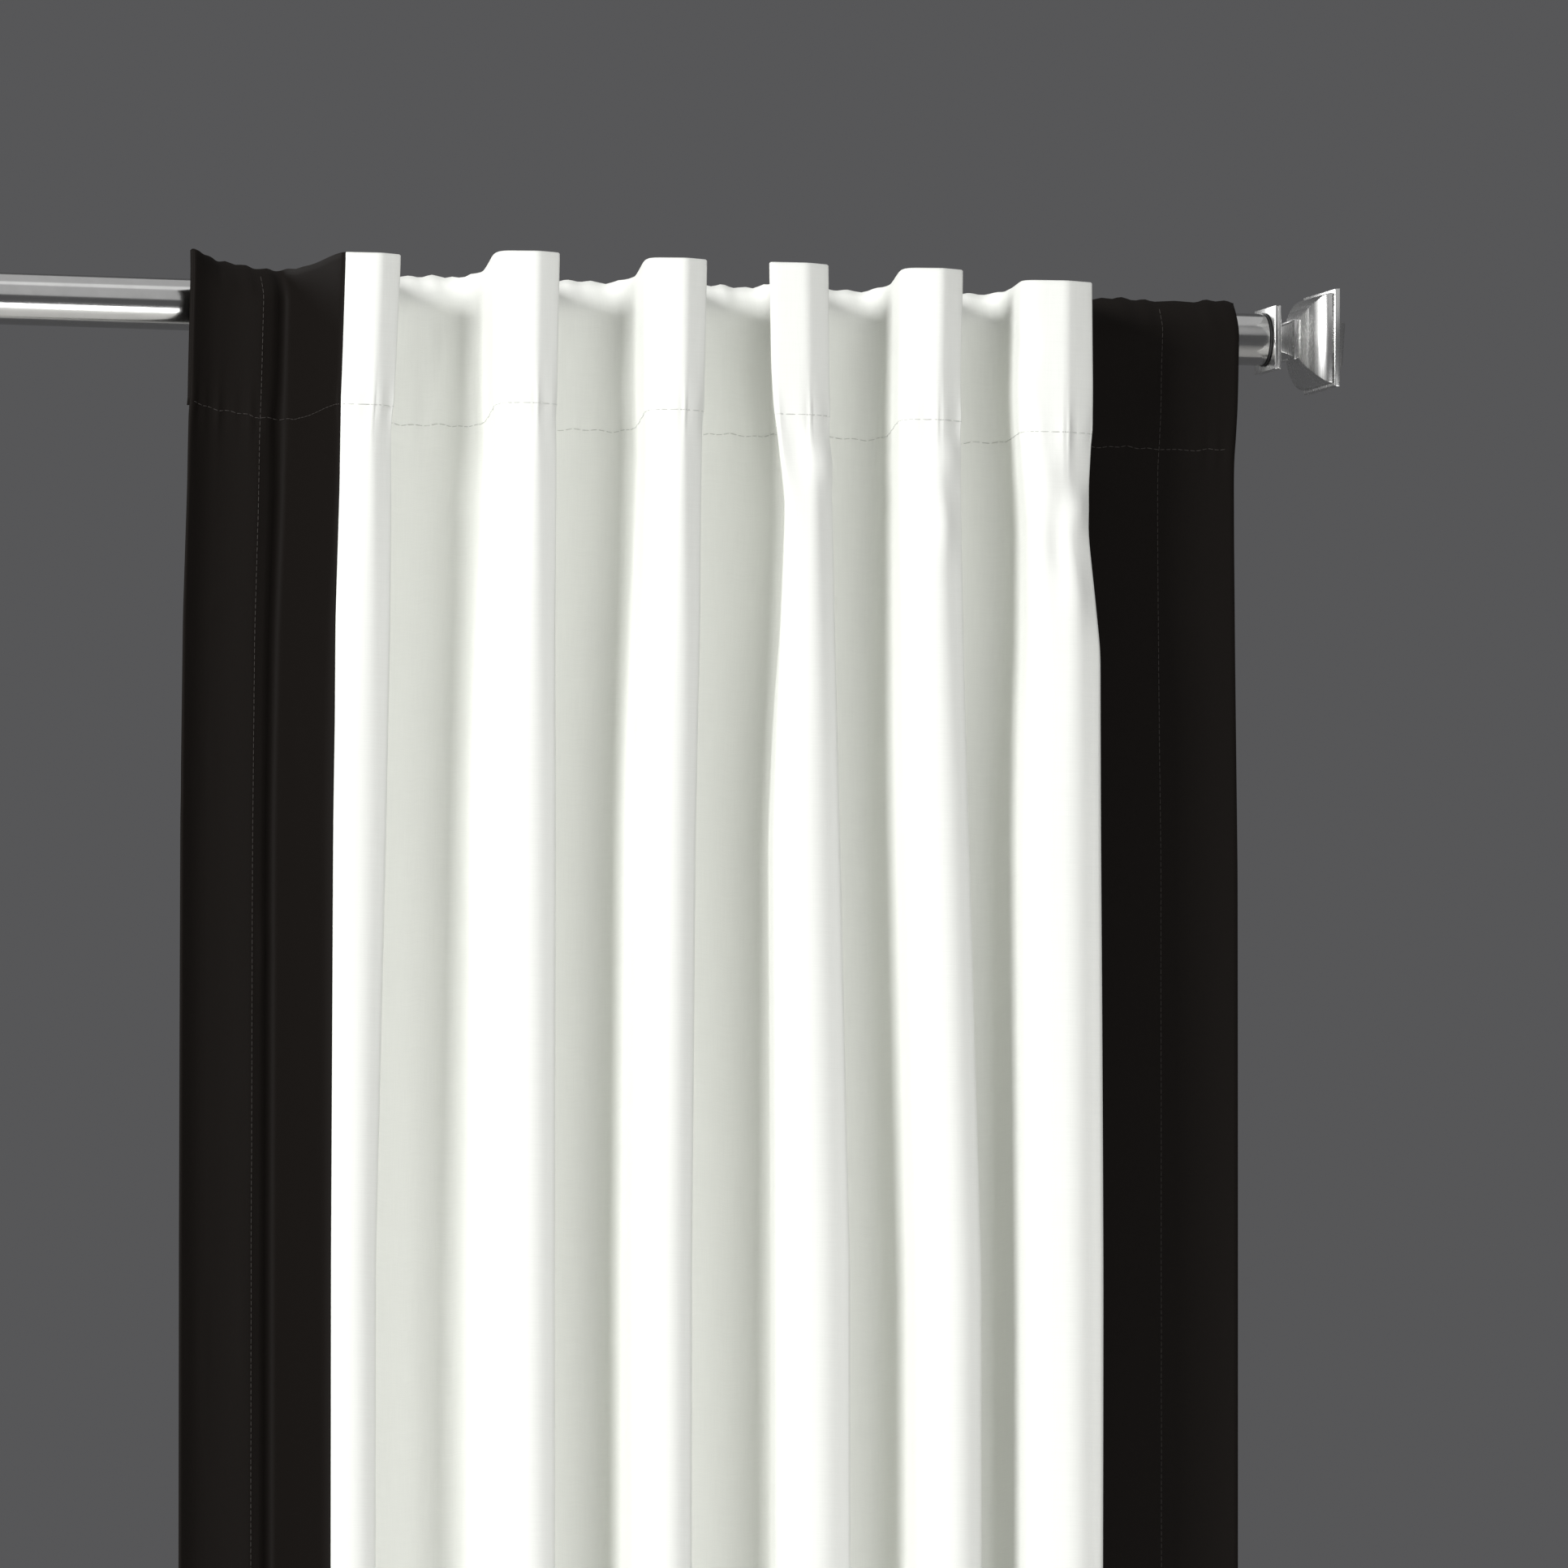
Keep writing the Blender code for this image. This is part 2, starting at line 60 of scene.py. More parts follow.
TUBE_LOW, TUBE_HIGH = corners("outer_tube")
AXIS_Y = (TUBE_LOW[1] + TUBE_HIGH[1]) / 2
AXIS_Z = (TUBE_LOW[2] + TUBE_HIGH[2]) / 2
ROD_RADIUS = (TUBE_HIGH[2] - TUBE_LOW[2]) / 2
TRAILING_X = corners("trailing_edge_cloth")[1][0]
CLOTH_Y = corners("recess_cloth_3")[0][1] + 0.0005
PLEAT_DEPTH = CLOTH_Y - corners("pleat_2")[0][1]
CURTAIN_TOP = corners("pleat_2")[1][2]
CURTAIN_LENGTH = CURTAIN_TOP - corners("pleat_2")[0][2]
FLOOR_Z = CURTAIN_TOP - CURTAIN_LENGTH - 0.013

TURN = 2.0 * math.pi
GAP = 0.0003                # between pieces that touch
TUBE_WALL = 0.0008
INNER_RADIUS = (corners("inner_tube")[1][2] - corners("inner_tube")[0][2]) / 2

# Finial: the same sizes as the frame's
PLUG_LENGTH = 0.029
PLUG_COLLAR = 0.0008
PLUG_COLLAR_PROUD = 0.0005
FLANGE_HALF = 0.0157
NECK_LENGTH = 0.0084
NECK_HALF = 0.0058
NECK_END_HALF = 0.0087
COLLAR_THICK = 0.0024
COLLAR_HALF = 0.0098
COLLAR_STEP = 0.0006
BELL_HALF = 0.0225
FACE_HALF = 0.02415
BUTTON_HALF = 0.0117
BUTTON_TURN = math.radians(12.0)
STUD_RADIUS = 0.0025

# Bracket
PLATE_HOLES = (0.0280, 0.0620)
ARM_RISE = 0.0040
CRADLE_WALL = 0.0020
CRADLE_GAP = 0.0005
CRADLE_FRONT_RISE = 0.004
SCREW_ROOM = 0.0036
THUMB_HEAD = 0.0060
SHANK = 0.0019
THREAD_ROOT = 0.0015
THREAD_STEP = 0.0009
CRADLE_PARTS = ("front", "base", "back")

# ---------------------------------------------------------------- the hang of the cloth
# Depths are below the top edge, and places along the rod are measured from the trailing edge.

HEADING = 0.076
SIDE_HEM = 0.041
BOTTOM_HEM = 0.100
LAYER = 0.0011              # from one folded layer of cloth to the next
CLOTH_THICK = 0.0006
RECESS_TOP = 0.0170
ROLL_DEPTH = 0.016          # over which the flat stretches roll back over the rod
ROLL_BACK = 0.0105
STITCH_PITCH = 0.0031
STITCH_LENGTH = 0.0025
THREAD = 0.00045
SEAM_DEPTH = HEADING - 0.002
FOLD_PROUD = 0.0005         # how far a folded edge stands out past the cloth
TAB_SEWN = 0.0135           # from the rod's axis forward to a tab's sewn end
TAB_DROP = 0.050
THREAD_PITCH = 0.00045      # of the weave
LIGHT_COLOUR = (0.86, 0.87, 0.83)
DARK_COLOUR = (0.0062, 0.0046, 0.0036)
RIGHT_BAND = 0.118          # the seam is hidden on the last pleat's right flank
MEASURED_AT = 0.35          # the depth where the cloth's width is measured

KEY_DEPTHS = [0.0, 0.053, 0.085, 0.116, 0.18, 0.28, 0.49, 2.13]

# Each pleat: left and right of the crest, left of the root, height of its top edge, and how
# far its left and right sides lean along the rod at each key depth, in millimetres
PLEATS = [
    dict(left=0.4772, right=0.4466, root=0.4890, top=0.0207, square=1.0,
         lean_left=[0, -1.7, -2.9, -3.6, -6.2, -7.7, -8.4, -9.5],
         lean_right=[0, -2.4, -4.6, -4.2, -4.5, -6.3, -11.5, -13.0]),
    dict(left=0.3980, right=0.3651, root=0.3940, top=0.0242, square=0.0,
         lean_left=[0, 0, 1.0, 0.5, -0.5, -1.0, -1.5, -2.0],
         lean_right=[0, -1.2, -1.2, -1.2, -1.6, -1.2, -1.7, -2.0]),
    dict(left=0.3212, right=0.2894, root=0.3150, top=0.0232, square=0.2,
         lean_left=[0, 0, 0.5, 0, -1.0, -3.0, -5.5, -6.5],
         lean_right=[0, -1.2, -2.0, -2.5, -2.8, -4.8, -6.7, -7.5]),
    dict(left=0.2593, right=0.2270, root=0.2391, top=0.0227, square=1.0,
         lean_left=[0, 1.0, 3.5, 7.5, 6.0, 3.0, 4.0, 6.0],
         lean_right=[0, 0.4, 0.8, 2.5, 4.0, 6.8, 12.1, 14.0]),
    dict(left=0.1895, right=0.1577, root=0.1840, top=0.0223, square=0.1,
         lean_left=[0, -1.0, -1.5, -1.0, 1.0, 4.0, 9.5, 11.5],
         lean_right=[0, -1.2, -0.8, -0.4, 1.0, 4.2, 10.2, 12.0]),
    dict(left=0.1280, right=0.0912, root=0.1215, top=0.0182, square=0.5,
         lean_left=[0, -1.5, 0.0, 3.0, 4.5, 3.0, 3.5, 4.0],
         lean_right=[0, 0.4, -0.4, -2.2, 4.8, 5.0, 5.8, 6.0]),
]
LEADING = dict(edge=0.5395, forward=0.010, bend=0.5150, ridge=0.4985, top=0.0240)
TRAILING_LEAN = [0, -1.2, -2.9, -2.9, -2.4, -1.3, -1.2, -1.2]
FRONT_CORNER = 0.60         # share of the crest from its left side to its corner

# Soft dents and swellings: pleat, share across the crest, depth, half width, half height, rise
SWELLINGS = [
    (3, 0.85, 0.098, 0.006, 0.010, 0.0022),
    (3, 0.35, 0.090, 0.006, 0.016, -0.0018),
    (4, 0.80, 0.092, 0.005, 0.009, 0.0016),
    (4, 0.70, 0.125, 0.005, 0.014, 0.0014),
    (5, 0.30, 0.100, 0.007, 0.014, 0.0026),
    (5, 0.78, 0.112, 0.006, 0.010, 0.0030),
    (5, 0.45, 0.130, 0.005, 0.014, -0.0020),
    (5, 0.10, 0.030, 0.003, 0.008, -0.0024),
    (5, 0.70, 0.152, 0.006, 0.016, 0.0014),
]


def smooth(x):
    x = np.clip(x, 0.0, 1.0)
    return x * x * (3.0 - 2.0 * x)


def along_depth(values, depth):
    """A lean in millimetres at key depths, as a smooth curve in metres at each depth."""
    fine = np.linspace(0.0, KEY_DEPTHS[-1], 1066)
    rough = np.interp(fine, KEY_DEPTHS, values)
    kernel = np.hanning(15)
    padded = np.pad(rough, 7, mode="edge")
    even = np.convolve(padded, kernel / kernel.sum(), mode="valid")
    return np.interp(depth, fine, even) / 1000.0


def plan_corners(depth):
    """The corners of the cloth's plan at one depth, from the leading edge to the trailing one:
    (distance from the trailing edge, forward of the flats, fillet, steps along, steps round)."""
    settled = float(smooth((depth - 0.06) / 0.22))
    found = []
    lead_lean = along_depth(PLEATS[0]["lean_left"], depth) * 0.8
    forward = LEADING["forward"]
    found.append((LEADING["edge"] - lead_lean, forward, 0.0, 0, 0))
    found.append((0.5300 - lead_lean, forward * 0.50, 0.006, 5, 4))
    found.append((LEADING["bend"] - lead_lean, 0.0030, 0.010, 6, 5))
    found.append((LEADING["ridge"] - lead_lean, 0.0042, 0.006, 5, 5))
    previous = lead_lean
    for number, pleat in enumerate(PLEATS):
        left_lean = float(along_depth(pleat["lean_left"], depth))
        right_lean = float(along_depth(pleat["lean_right"], depth))
        left = pleat["left"] - left_lean
        right = pleat["right"] - right_lean
        width = left - right
        square = pleat["square"]
        if number > 0:
            square *= 1.0 - float(smooth((depth - 0.09) / 0.13))
        soft = 1.0 - 0.85 * square
        root = pleat["root"] - left_lean * 0.8 + 0.009 * settled * soft
        if number > 0:
            gap_left = PLEATS[number - 1]["right"] - previous
            found.append((gap_left * 0.70 + root * 0.30, 0.0004, 0.010, 5, 3))
        root_fillet = (0.010 if number == 0 else 0.015) + 0.018 * settled * soft
        found.append((root, 0.0, root_fillet, 6, 7))
        crest_fillet = 0.0035 + 0.010 * (1.0 - square) + 0.006 * settled
        crest_back = 0.0025 + 0.0030 * (1.0 - square)
        found.append((left, PLEAT_DEPTH - crest_back, crest_fillet, 9, 7))
        corner = left - width * FRONT_CORNER
        found.append((corner, PLEAT_DEPTH - 0.0006, 0.0025 + 0.004 * settled, 4, 5))
        fold_fillet = 0.0012 + 0.0016 * settled
        found.append((right, PLEAT_DEPTH - 0.0065, fold_fillet, 3, 5))
        found.append((right - 0.0012, 0.0, 0.004 + 0.006 * settled, 12, 5))
        previous = right_lean
    edge_lean = float(along_depth(TRAILING_LEAN, depth))
    found.append((0.0700 - previous / 2, 0.0022, 0.008, 5, 3))
    found.append((0.0300 - edge_lean, 0.0030, 0.010, 9, 2))
    found.append((0.0 - edge_lean, 0.0032, 0.0, 9, 0))
    return found


def fillet_plan(found):
    """The plan as evenly counted points, with each corner rounded by a quadratic curve."""
    points = np.array([(f[0], f[1]) for f in found])
    lengths = np.linalg.norm(np.diff(points, axis=0), axis=1)
    line = [points[0]]
    start = points[0]
    for i in range(1, len(points)):
        here = points[i]
        last = i == len(points) - 1
        cut = 0.0 if last else min(found[i][2], 0.45 * lengths[i - 1], 0.45 * lengths[i])
        enter = here + (points[i - 1] - here) * (cut / lengths[i - 1])
        for k in range(1, found[i][3] + 1):
            line.append(start + (enter - start) * (k / found[i][3]))
        if last:
            break
        leave = here + (points[i + 1] - here) * (cut / lengths[i])
        for k in range(1, found[i][4] + 1):
            t = k / found[i][4]
            line.append((1 - t) ** 2 * enter + 2 * t * (1 - t) * here + t * t * leave)
        start = leave
    return np.array(line)


def row_depths():
    top = np.linspace(0.0, ROLL_DEPTH, 6)
    heading = np.arange(0.020, 0.200, 0.004)
    shoulder = np.arange(0.206, 0.500, 0.012)
    fall = np.linspace(0.510, CURTAIN_LENGTH - BOTTOM_HEM - 0.010, 58)
    hem = np.linspace(CURTAIN_LENGTH - BOTTOM_HEM, CURTAIN_LENGTH - 0.003, 9)
    return np.concatenate([top, heading, shoulder, fall, hem])


def column_places():
    """The cloth coordinate of each column: its distance across the flat cloth, and the place
    of the seam on the first pleat's left corner."""
    line = fillet_plan(plan_corners(MEASURED_AT))
    steps = np.linalg.norm(np.diff(line, axis=0), axis=1)
    along = np.concatenate([[0.0], np.cumsum(steps)])
    left = PLEATS[0]["left"] - float(along_depth(PLEATS[0]["lean_left"], MEASURED_AT))
    off_corner = np.hypot(line[:, 0] - left, line[:, 1] - PLEAT_DEPTH)
    return along, float(along[off_corner.argmin()])


ACROSS, LEFT_SEAM = column_places()
PANEL_WIDTH = float(ACROSS[-1])
RIGHT_SEAM = PANEL_WIDTH - RIGHT_BAND


def hang_panel():
    """Places of the cloth's front layer: (rows, columns, 3), its normals, and its coordinates."""
    depths = row_depths()
    plans = np.array([fillet_plan(plan_corners(d)) for d in depths])
    across = ACROSS
    distance, forward = plans[:, :, 0], plans[:, :, 1]
    share = np.clip(forward / PLEAT_DEPTH, 0.0, 1.0)
    flat = 1.0 - smooth(share * 3.0)
    depth = depths[:, None] * np.ones_like(distance)

    rise = np.zeros(distance.shape[1])
    top_share = smooth((share[0] - 0.30) / 0.62)
    for pleat in PLEATS:
        near = (distance[0] < pleat["left"] + 0.02) & (distance[0] > pleat["right"] - 0.02)
        rise = np.where(near, (pleat["top"] - RECESS_TOP) * top_share, rise)
    first_root = PLEATS[0]["root"]
    lead_share = np.clip((distance[0] - first_root) / (LEADING["edge"] - first_root), 0.0, 1.0)
    climb = (LEADING["top"] - RECESS_TOP) * lead_share ** 1.4
    rise = np.where(distance[0] > first_root, climb, rise)
    ruffle = 0.00055 * np.sin(across * TURN / 0.0105 + 1.3 * np.sin(across * 37.0))
    ruffle += 0.0004 * np.sin(across * TURN / 0.0231 + 0.7)
    top_edge = RECESS_TOP + rise + ruffle * flat[0]

    roll = ROLL_BACK * np.clip(1.0 - depth / ROLL_DEPTH, 0.0, 1.0) ** 1.6 * flat
    past_tab = smooth((distance - LEADING["bend"]) / (LEADING["edge"] - LEADING["bend"]))
    roll = roll * (1.0 - 0.8 * past_tab)
    x = TRAILING_X - distance
    y = CLOTH_Y - forward + roll
    z = AXIS_Z + top_edge[None, :] - depth
    return np.stack([x, y, z], axis=2), depth, across, share, flat


def normals_of(places):
    down = np.gradient(places, axis=0)
    along = np.gradient(places, axis=1)
    normal = np.cross(down, along)
    return normal / np.linalg.norm(normal, axis=2, keepdims=True)


def bump(value, centre, half):
    return np.exp(-(((value - centre) / half) ** 2))


def seam_puckers(across, depth):
    """The cloth puckers and sinks along the heading's stitches and the side hems' stitches."""
    pucker = np.sin(across * TURN / 0.0083 + 1.7 * np.sin(across * 53.0))
    height = 0.00042 * pucker * np.exp(-np.abs(depth - SEAM_DEPTH) / 0.009)
    height -= 0.00055 * bump(depth, SEAM_DEPTH, 0.0016)
    height -= 0.00060 * smooth((depth - SEAM_DEPTH) / 0.004)
    for hem in (SIDE_HEM, PANEL_WIDTH - SIDE_HEM):
        beside = np.exp(-np.abs(across - hem) / 0.006)
        height -= 0.00040 * bump(across, hem, 0.0016)
        height += 0.00018 * np.sin(depth * TURN / 0.011) * beside
    return height


def heading_creases(rng, across, depth, flat):
    """Soft slanting creases in the flat stretches of the heading."""
    shown = smooth((depth - 0.012) / 0.02) * (1.0 - smooth((depth - HEADING) / 0.02)) * flat
    height = np.zeros_like(depth)
    for start in np.arange(0.10, PANEL_WIDTH, 0.0085):
        centre = start + rng.uniform(-0.004, 0.004)
        slant = rng.uniform(-0.16, 0.16)
        half = rng.uniform(0.0025, 0.0055)
        rise = rng.uniform(-0.0019, 0.0019)
        middle = rng.uniform(0.020, 0.060)
        reach = rng.uniform(0.015, 0.035)
        line = centre + slant * (depth - middle)
        height += rise * bump(across, line, half) * bump(depth, middle, reach) * shown
    return height


def long_waves(rng, across, depth):
    """Broad waves down the whole panel."""
    height = np.zeros_like(depth)
    for start in np.arange(0.02, PANEL_WIDTH, 0.021):
        centre = start + rng.uniform(-0.008, 0.008)
        middle = rng.uniform(0.10, 1.9)
        reach = rng.uniform(0.10, 0.45)
        rise = rng.uniform(-0.0009, 0.0009)
        slant = rng.uniform(-0.03, 0.03)
        line = centre + slant * (depth - middle)
        height += rise * bump(across, line, rng.uniform(0.006, 0.014)) * bump(depth, middle, reach)
    return height


def band_creases(rng, across, depth):
    """Fine creases from folding, in the dark bands only."""
    band = smooth((0.13 - across) / 0.02) + smooth((across - 1.15) / 0.02)
    height = np.zeros_like(depth)
    for _ in range(26):
        centre, middle = rng.uniform(0.0, 0.09), rng.uniform(0.10, 0.9)
        slant = rng.choice([-1.0, 1.0]) * rng.uniform(0.3, 1.2)
        off_line = (across - centre) + slant * (depth - middle)
        along_line = (depth - middle) - slant * (across - centre)
        rise = rng.uniform(0.0002, 0.0006)
        height += rise * bump(off_line, 0.0, 0.003) * bump(along_line, 0.0, 0.022) * band
    return height


def crest_swellings(x, depth, share):
    """The dents and swellings listed for each pleat's crest."""
    height = np.zeros_like(depth)
    for number, across_crest, middle, half_width, half_height, rise in SWELLINGS:
        pleat = PLEATS[number]
        left = pleat["left"] - along_depth(pleat["lean_left"], depth)
        right = pleat["right"] - along_depth(pleat["lean_right"], depth)
        centre = TRAILING_X - left + (left - right) * across_crest
        place = bump(x, centre, half_width) * bump(depth, middle, half_height)
        height += rise * place * smooth(share * 2 - 1)
    return height


def wrinkle(places, depth, across, share, flat):
    """How far the cloth stands proud of its smooth hang."""
    rng = np.random.default_rng(7)
    across = across[None, :] * np.ones_like(depth)
    height = seam_puckers(across, depth)
    height += heading_creases(rng, across, depth, flat)
    height += long_waves(rng, across, depth)
    height += band_creases(rng, across, depth)
    return height + crest_swellings(places[:, :, 0], depth, share)


def cloth_grid():
    places, depth, across, share, flat = hang_panel()
    normal = normals_of(places)
    places = places + normal * wrinkle(places, depth, across, share, flat)[:, :, None]
    return dict(places=places, normal=normals_of(places), depth=depth[:, 0], across=across)


CLOTH = cloth_grid()


def nearest(values, value):
    return int(np.abs(np.asarray(values) - value).argmin())


# ---------------------------------------------------------------- materials


def add_node(tree, kind, settings=None, **inputs):
    """A node whose inputs are set by name, to a value or to another node's output."""
    node = tree.nodes.new(kind)
    for key, value in (settings or {}).items():
        setattr(node, key, value)
    for key, value in inputs.items():
        socket = node.inputs[int(key[1:])] if key[0] == "_" else node.inputs[key.replace("_", " ")]
        if isinstance(value, bpy.types.NodeSocket):
            tree.links.new(value, socket)
        else:
            socket.default_value = value
    return node


def arithmetic(tree, operation, first, second=0.0, third=0.0):
    settings = {"operation": operation}
    return add_node(tree, "ShaderNodeMath", settings, _0=first, _1=second, _2=third).outputs[0]


def scaled_sum(tree, value, factor, added):
    return arithmetic(tree, "MULTIPLY_ADD", value, factor, added)


def stretched(tree, vector, factors):
    """A vector multiplied by a factor along each of its axes."""
    settings = {"operation": "MULTIPLY"}
    return add_node(tree, "ShaderNodeVectorMath", settings, _0=vector, _1=factors).outputs[0]


def noise(tree, vector, factors, detail=2.0):
    scaled = stretched(tree, vector, factors)
    return add_node(tree, "ShaderNodeTexNoise", Vector=scaled, Scale=1.0, Detail=detail).outputs[0]


def new_group(name, inputs, outputs):
    group = bpy.data.node_groups.new(name, "ShaderNodeTree")
    for title, kind in inputs:
        group.interface.new_socket(title, in_out="INPUT", socket_type=kind)
    for title in outputs:
        group.interface.new_socket(title, in_out="OUTPUT", socket_type="NodeSocketFloat")
    return group, group.nodes.new("NodeGroupInput"), group.nodes.new("NodeGroupOutput")


def weave_group():
    """Plain weave with uneven threads. Height is for the bump, Shade multiplies the colour."""
    inputs = [("Vector", "NodeSocketVector")]
    group, given, result = new_group("plain_weave", inputs, ["Height", "Shade"])
    vector = given.outputs["Vector"]
    place = add_node(group, "ShaderNodeSeparateXYZ", Vector=vector)
    turns = TURN / THREAD_PITCH
    warp = arithmetic(group, "SINE", arithmetic(group, "MULTIPLY", place.outputs[0], turns))
    weft = arithmetic(group, "SINE", arithmetic(group, "MULTIPLY", place.outputs[1], turns))
    crossing = arithmetic(group, "MULTIPLY", warp, weft)
    slub_down = noise(group, vector, (2200.0, 60.0, 1.0))
    slub_across = noise(group, vector, (60.0, 2200.0, 1.0))
    slubs = arithmetic(group, "ADD", slub_down, slub_across)
    crumple = noise(group, vector, (70.0, 30.0, 1.0), 4.0)
    uneven = scaled_sum(group, crossing, 0.25, slubs)
    group.links.new(scaled_sum(group, crumple, 2.2, uneven), result.inputs["Height"])
    group.links.new(scaled_sum(group, slubs, 0.06, 0.94), result.inputs["Shade"])
    return group


def brush_group():
    """Fine brush marks along one axis, with a haze of handling over them."""
    inputs = [("Vector", "NodeSocketVector"), ("Grain", "NodeSocketVector")]
    group, given, result = new_group("brush_marks", inputs, ["Height", "Roughness", "Shade"])
    marks = noise(group, given.outputs[0], given.outputs[1], 3.0)
    haze = noise(group, given.outputs[0], (95.0, 95.0, 95.0), 3.0)
    group.links.new(marks, result.inputs["Height"])
    spread = scaled_sum(group, haze, 0.10, 0.03)
    group.links.new(scaled_sum(group, marks, 0.10, spread), result.inputs["Roughness"])
    group.links.new(scaled_sum(group, haze, -0.18, 1.08), result.inputs["Shade"])
    return group


def start_material(name, **uniform):
    material = bpy.data.materials.new(name)
    material.use_nodes = True
    shader = material.node_tree.nodes["Principled BSDF"]
    for key, value in uniform.items():
        shader.inputs[key.replace("_", " ")].default_value = value
    return material, material.node_tree, shader


def tinted(tree, colour, shade):
    """A colour made lighter or darker by a shade."""
    grey = add_node(tree, "ShaderNodeCombineColor", _0=shade, _1=shade, _2=shade).outputs[0]
    settings = {"data_type": "RGBA", "blend_type": "MULTIPLY"}
    return add_node(tree, "ShaderNodeMix", settings, _0=1.0, _6=(*colour, 1.0), _7=grey).outputs[2]


def bumped(tree, shader, height, strength, distance):
    bump_node = add_node(tree, "ShaderNodeBump", Height=height, Strength=strength, Distance=distance)
    tree.links.new(bump_node.outputs[0], shader.inputs["Normal"])


def object_place(tree):
    return add_node(tree, "ShaderNodeTexCoord").outputs["Object"]


def cloth_material(name, colour, roughness, sheen, sheen_tint, strength):
    material, tree, shader = start_material(name, Roughness=roughness, Sheen_Weight=sheen)
    shader.inputs["Sheen Tint"].default_value = (*sheen_tint, 1.0)
    shader.inputs["Sheen Roughness"].default_value = 0.45
    shader.inputs["Specular IOR Level"].default_value = 0.12
    place = add_node(tree, "ShaderNodeUVMap", {"uv_map": "cloth"})
    weave = add_node(tree, "ShaderNodeGroup", {"node_tree": WEAVE}, Vector=place.outputs[0])
    tree.links.new(tinted(tree, colour, weave.outputs["Shade"]), shader.inputs["Base Color"])
    bumped(tree, shader, weave.outputs["Height"], strength, 0.00025)
    return material


def metal_material(name, colour, grain, strength, roughness=0.0):
    material, tree, shader = start_material(name, Metallic=1.0)
    place = object_place(tree)
    marks = add_node(tree, "ShaderNodeGroup", {"node_tree": BRUSH}, Vector=place, Grain=grain)
    tree.links.new(tinted(tree, colour, marks.outputs["Shade"]), shader.inputs["Base Color"])
    rough = arithmetic(tree, "ADD", marks.outputs["Roughness"], roughness)
    tree.links.new(rough, shader.inputs["Roughness"])
    bumped(tree, shader, marks.outputs["Height"], strength, 0.00004)
    return material


def thread_material(name, colour):
    """Twisted thread: fine diagonal ridges."""
    material, tree, shader = start_material(name, Roughness=0.75)
    tilt = (0.6, 0.6, 0.6)
    tilted = add_node(tree, "ShaderNodeMapping", Vector=object_place(tree), Rotation=tilt)
    ridges = noise(tree, tilted.outputs[0], (4200.0, 700.0, 700.0))
    shade = scaled_sum(tree, ridges, 0.5, 0.75)
    tree.links.new(tinted(tree, colour, shade), shader.inputs["Base Color"])
    bumped(tree, shader, ridges, 0.4, 0.0001)
    return material


def plastic_material(name, colour, roughness):
    """Moulded plastic with a fine grained skin."""
    material, tree, shader = start_material(name)
    skin = noise(tree, object_place(tree), (2600.0, 2600.0, 2600.0))
    tree.links.new(scaled_sum(tree, skin, 0.2, roughness), shader.inputs["Roughness"])
    shade = arithmetic(tree, "ADD", skin, 0.5)
    tree.links.new(tinted(tree, colour, shade), shader.inputs["Base Color"])
    bumped(tree, shader, skin, 0.25, 0.00005)
    return material


WEAVE = weave_group()
BRUSH = brush_group()
LIGHT_CLOTH = cloth_material("light_cotton", LIGHT_COLOUR, 0.85, 0.05, (1.0, 1.0, 0.97), 0.10)
DARK_CLOTH = cloth_material("dark_cotton", DARK_COLOUR, 0.72, 0.022, (0.50, 0.43, 0.38), 0.18)
# The pale thread is greyer than the light cloth so that its stitches show as dark dots: painted shade
# for the shadow of the sunk stitches.
LIGHT_THREAD_PAINTED_SHADE = thread_material("light_thread_painted_shade", (0.62, 0.63, 0.60))
DARK_THREAD = thread_material("dark_thread", (0.035, 0.030, 0.026))
TUBE_NICKEL = metal_material("nickel_tube", (0.66, 0.66, 0.65), (18.0, 1700.0, 1700.0), 0.02, 0.03)
CAST_NICKEL = metal_material("nickel_casting", (0.74, 0.74, 0.73), (1300.0, 1300.0, 30.0), 0.05, 0.14)
PLATE_NICKEL = metal_material("nickel_plate", (0.60, 0.60, 0.59), (1500.0, 40.0, 60.0), 0.06, 0.14)
SCREW_STEEL = metal_material("steel_screw", (0.46, 0.46, 0.46), (900.0, 900.0, 900.0), 0.12, 0.12)
BLACK_PLASTIC = plastic_material("black_plastic", (0.012, 0.012, 0.012), 0.38)

# ---------------------------------------------------------------- pieces of cloth


def add_mesh(name, vertices, faces, material):
    mesh = bpy.data.meshes.new(name)
    mesh.from_pydata([tuple(v) for v in vertices], [], [tuple(f) for f in faces])
    mesh.materials.append(material)
    mesh.shade_smooth()
    piece = bpy.data.objects.new(name, mesh)
    bpy.context.scene.collection.objects.link(piece)
    return piece


def deselect():
    bpy.ops.object.select_all(action="DESELECT")


def make_active(piece):
    deselect()
    bpy.context.view_layer.objects.active = piece
    piece.select_set(True)


def apply_modifiers(piece):
    make_active(piece)
    for modifier in list(piece.modifiers):
        bpy.ops.object.modifier_apply(modifier=modifier.name)


def belongs(piece, body, nodes):
    """The piece rides on a body, and the CAD nodes it stands for are hidden."""
    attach(piece, body)
    if nodes:
        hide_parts(*nodes)


def gathers(piece):
    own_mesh(piece)


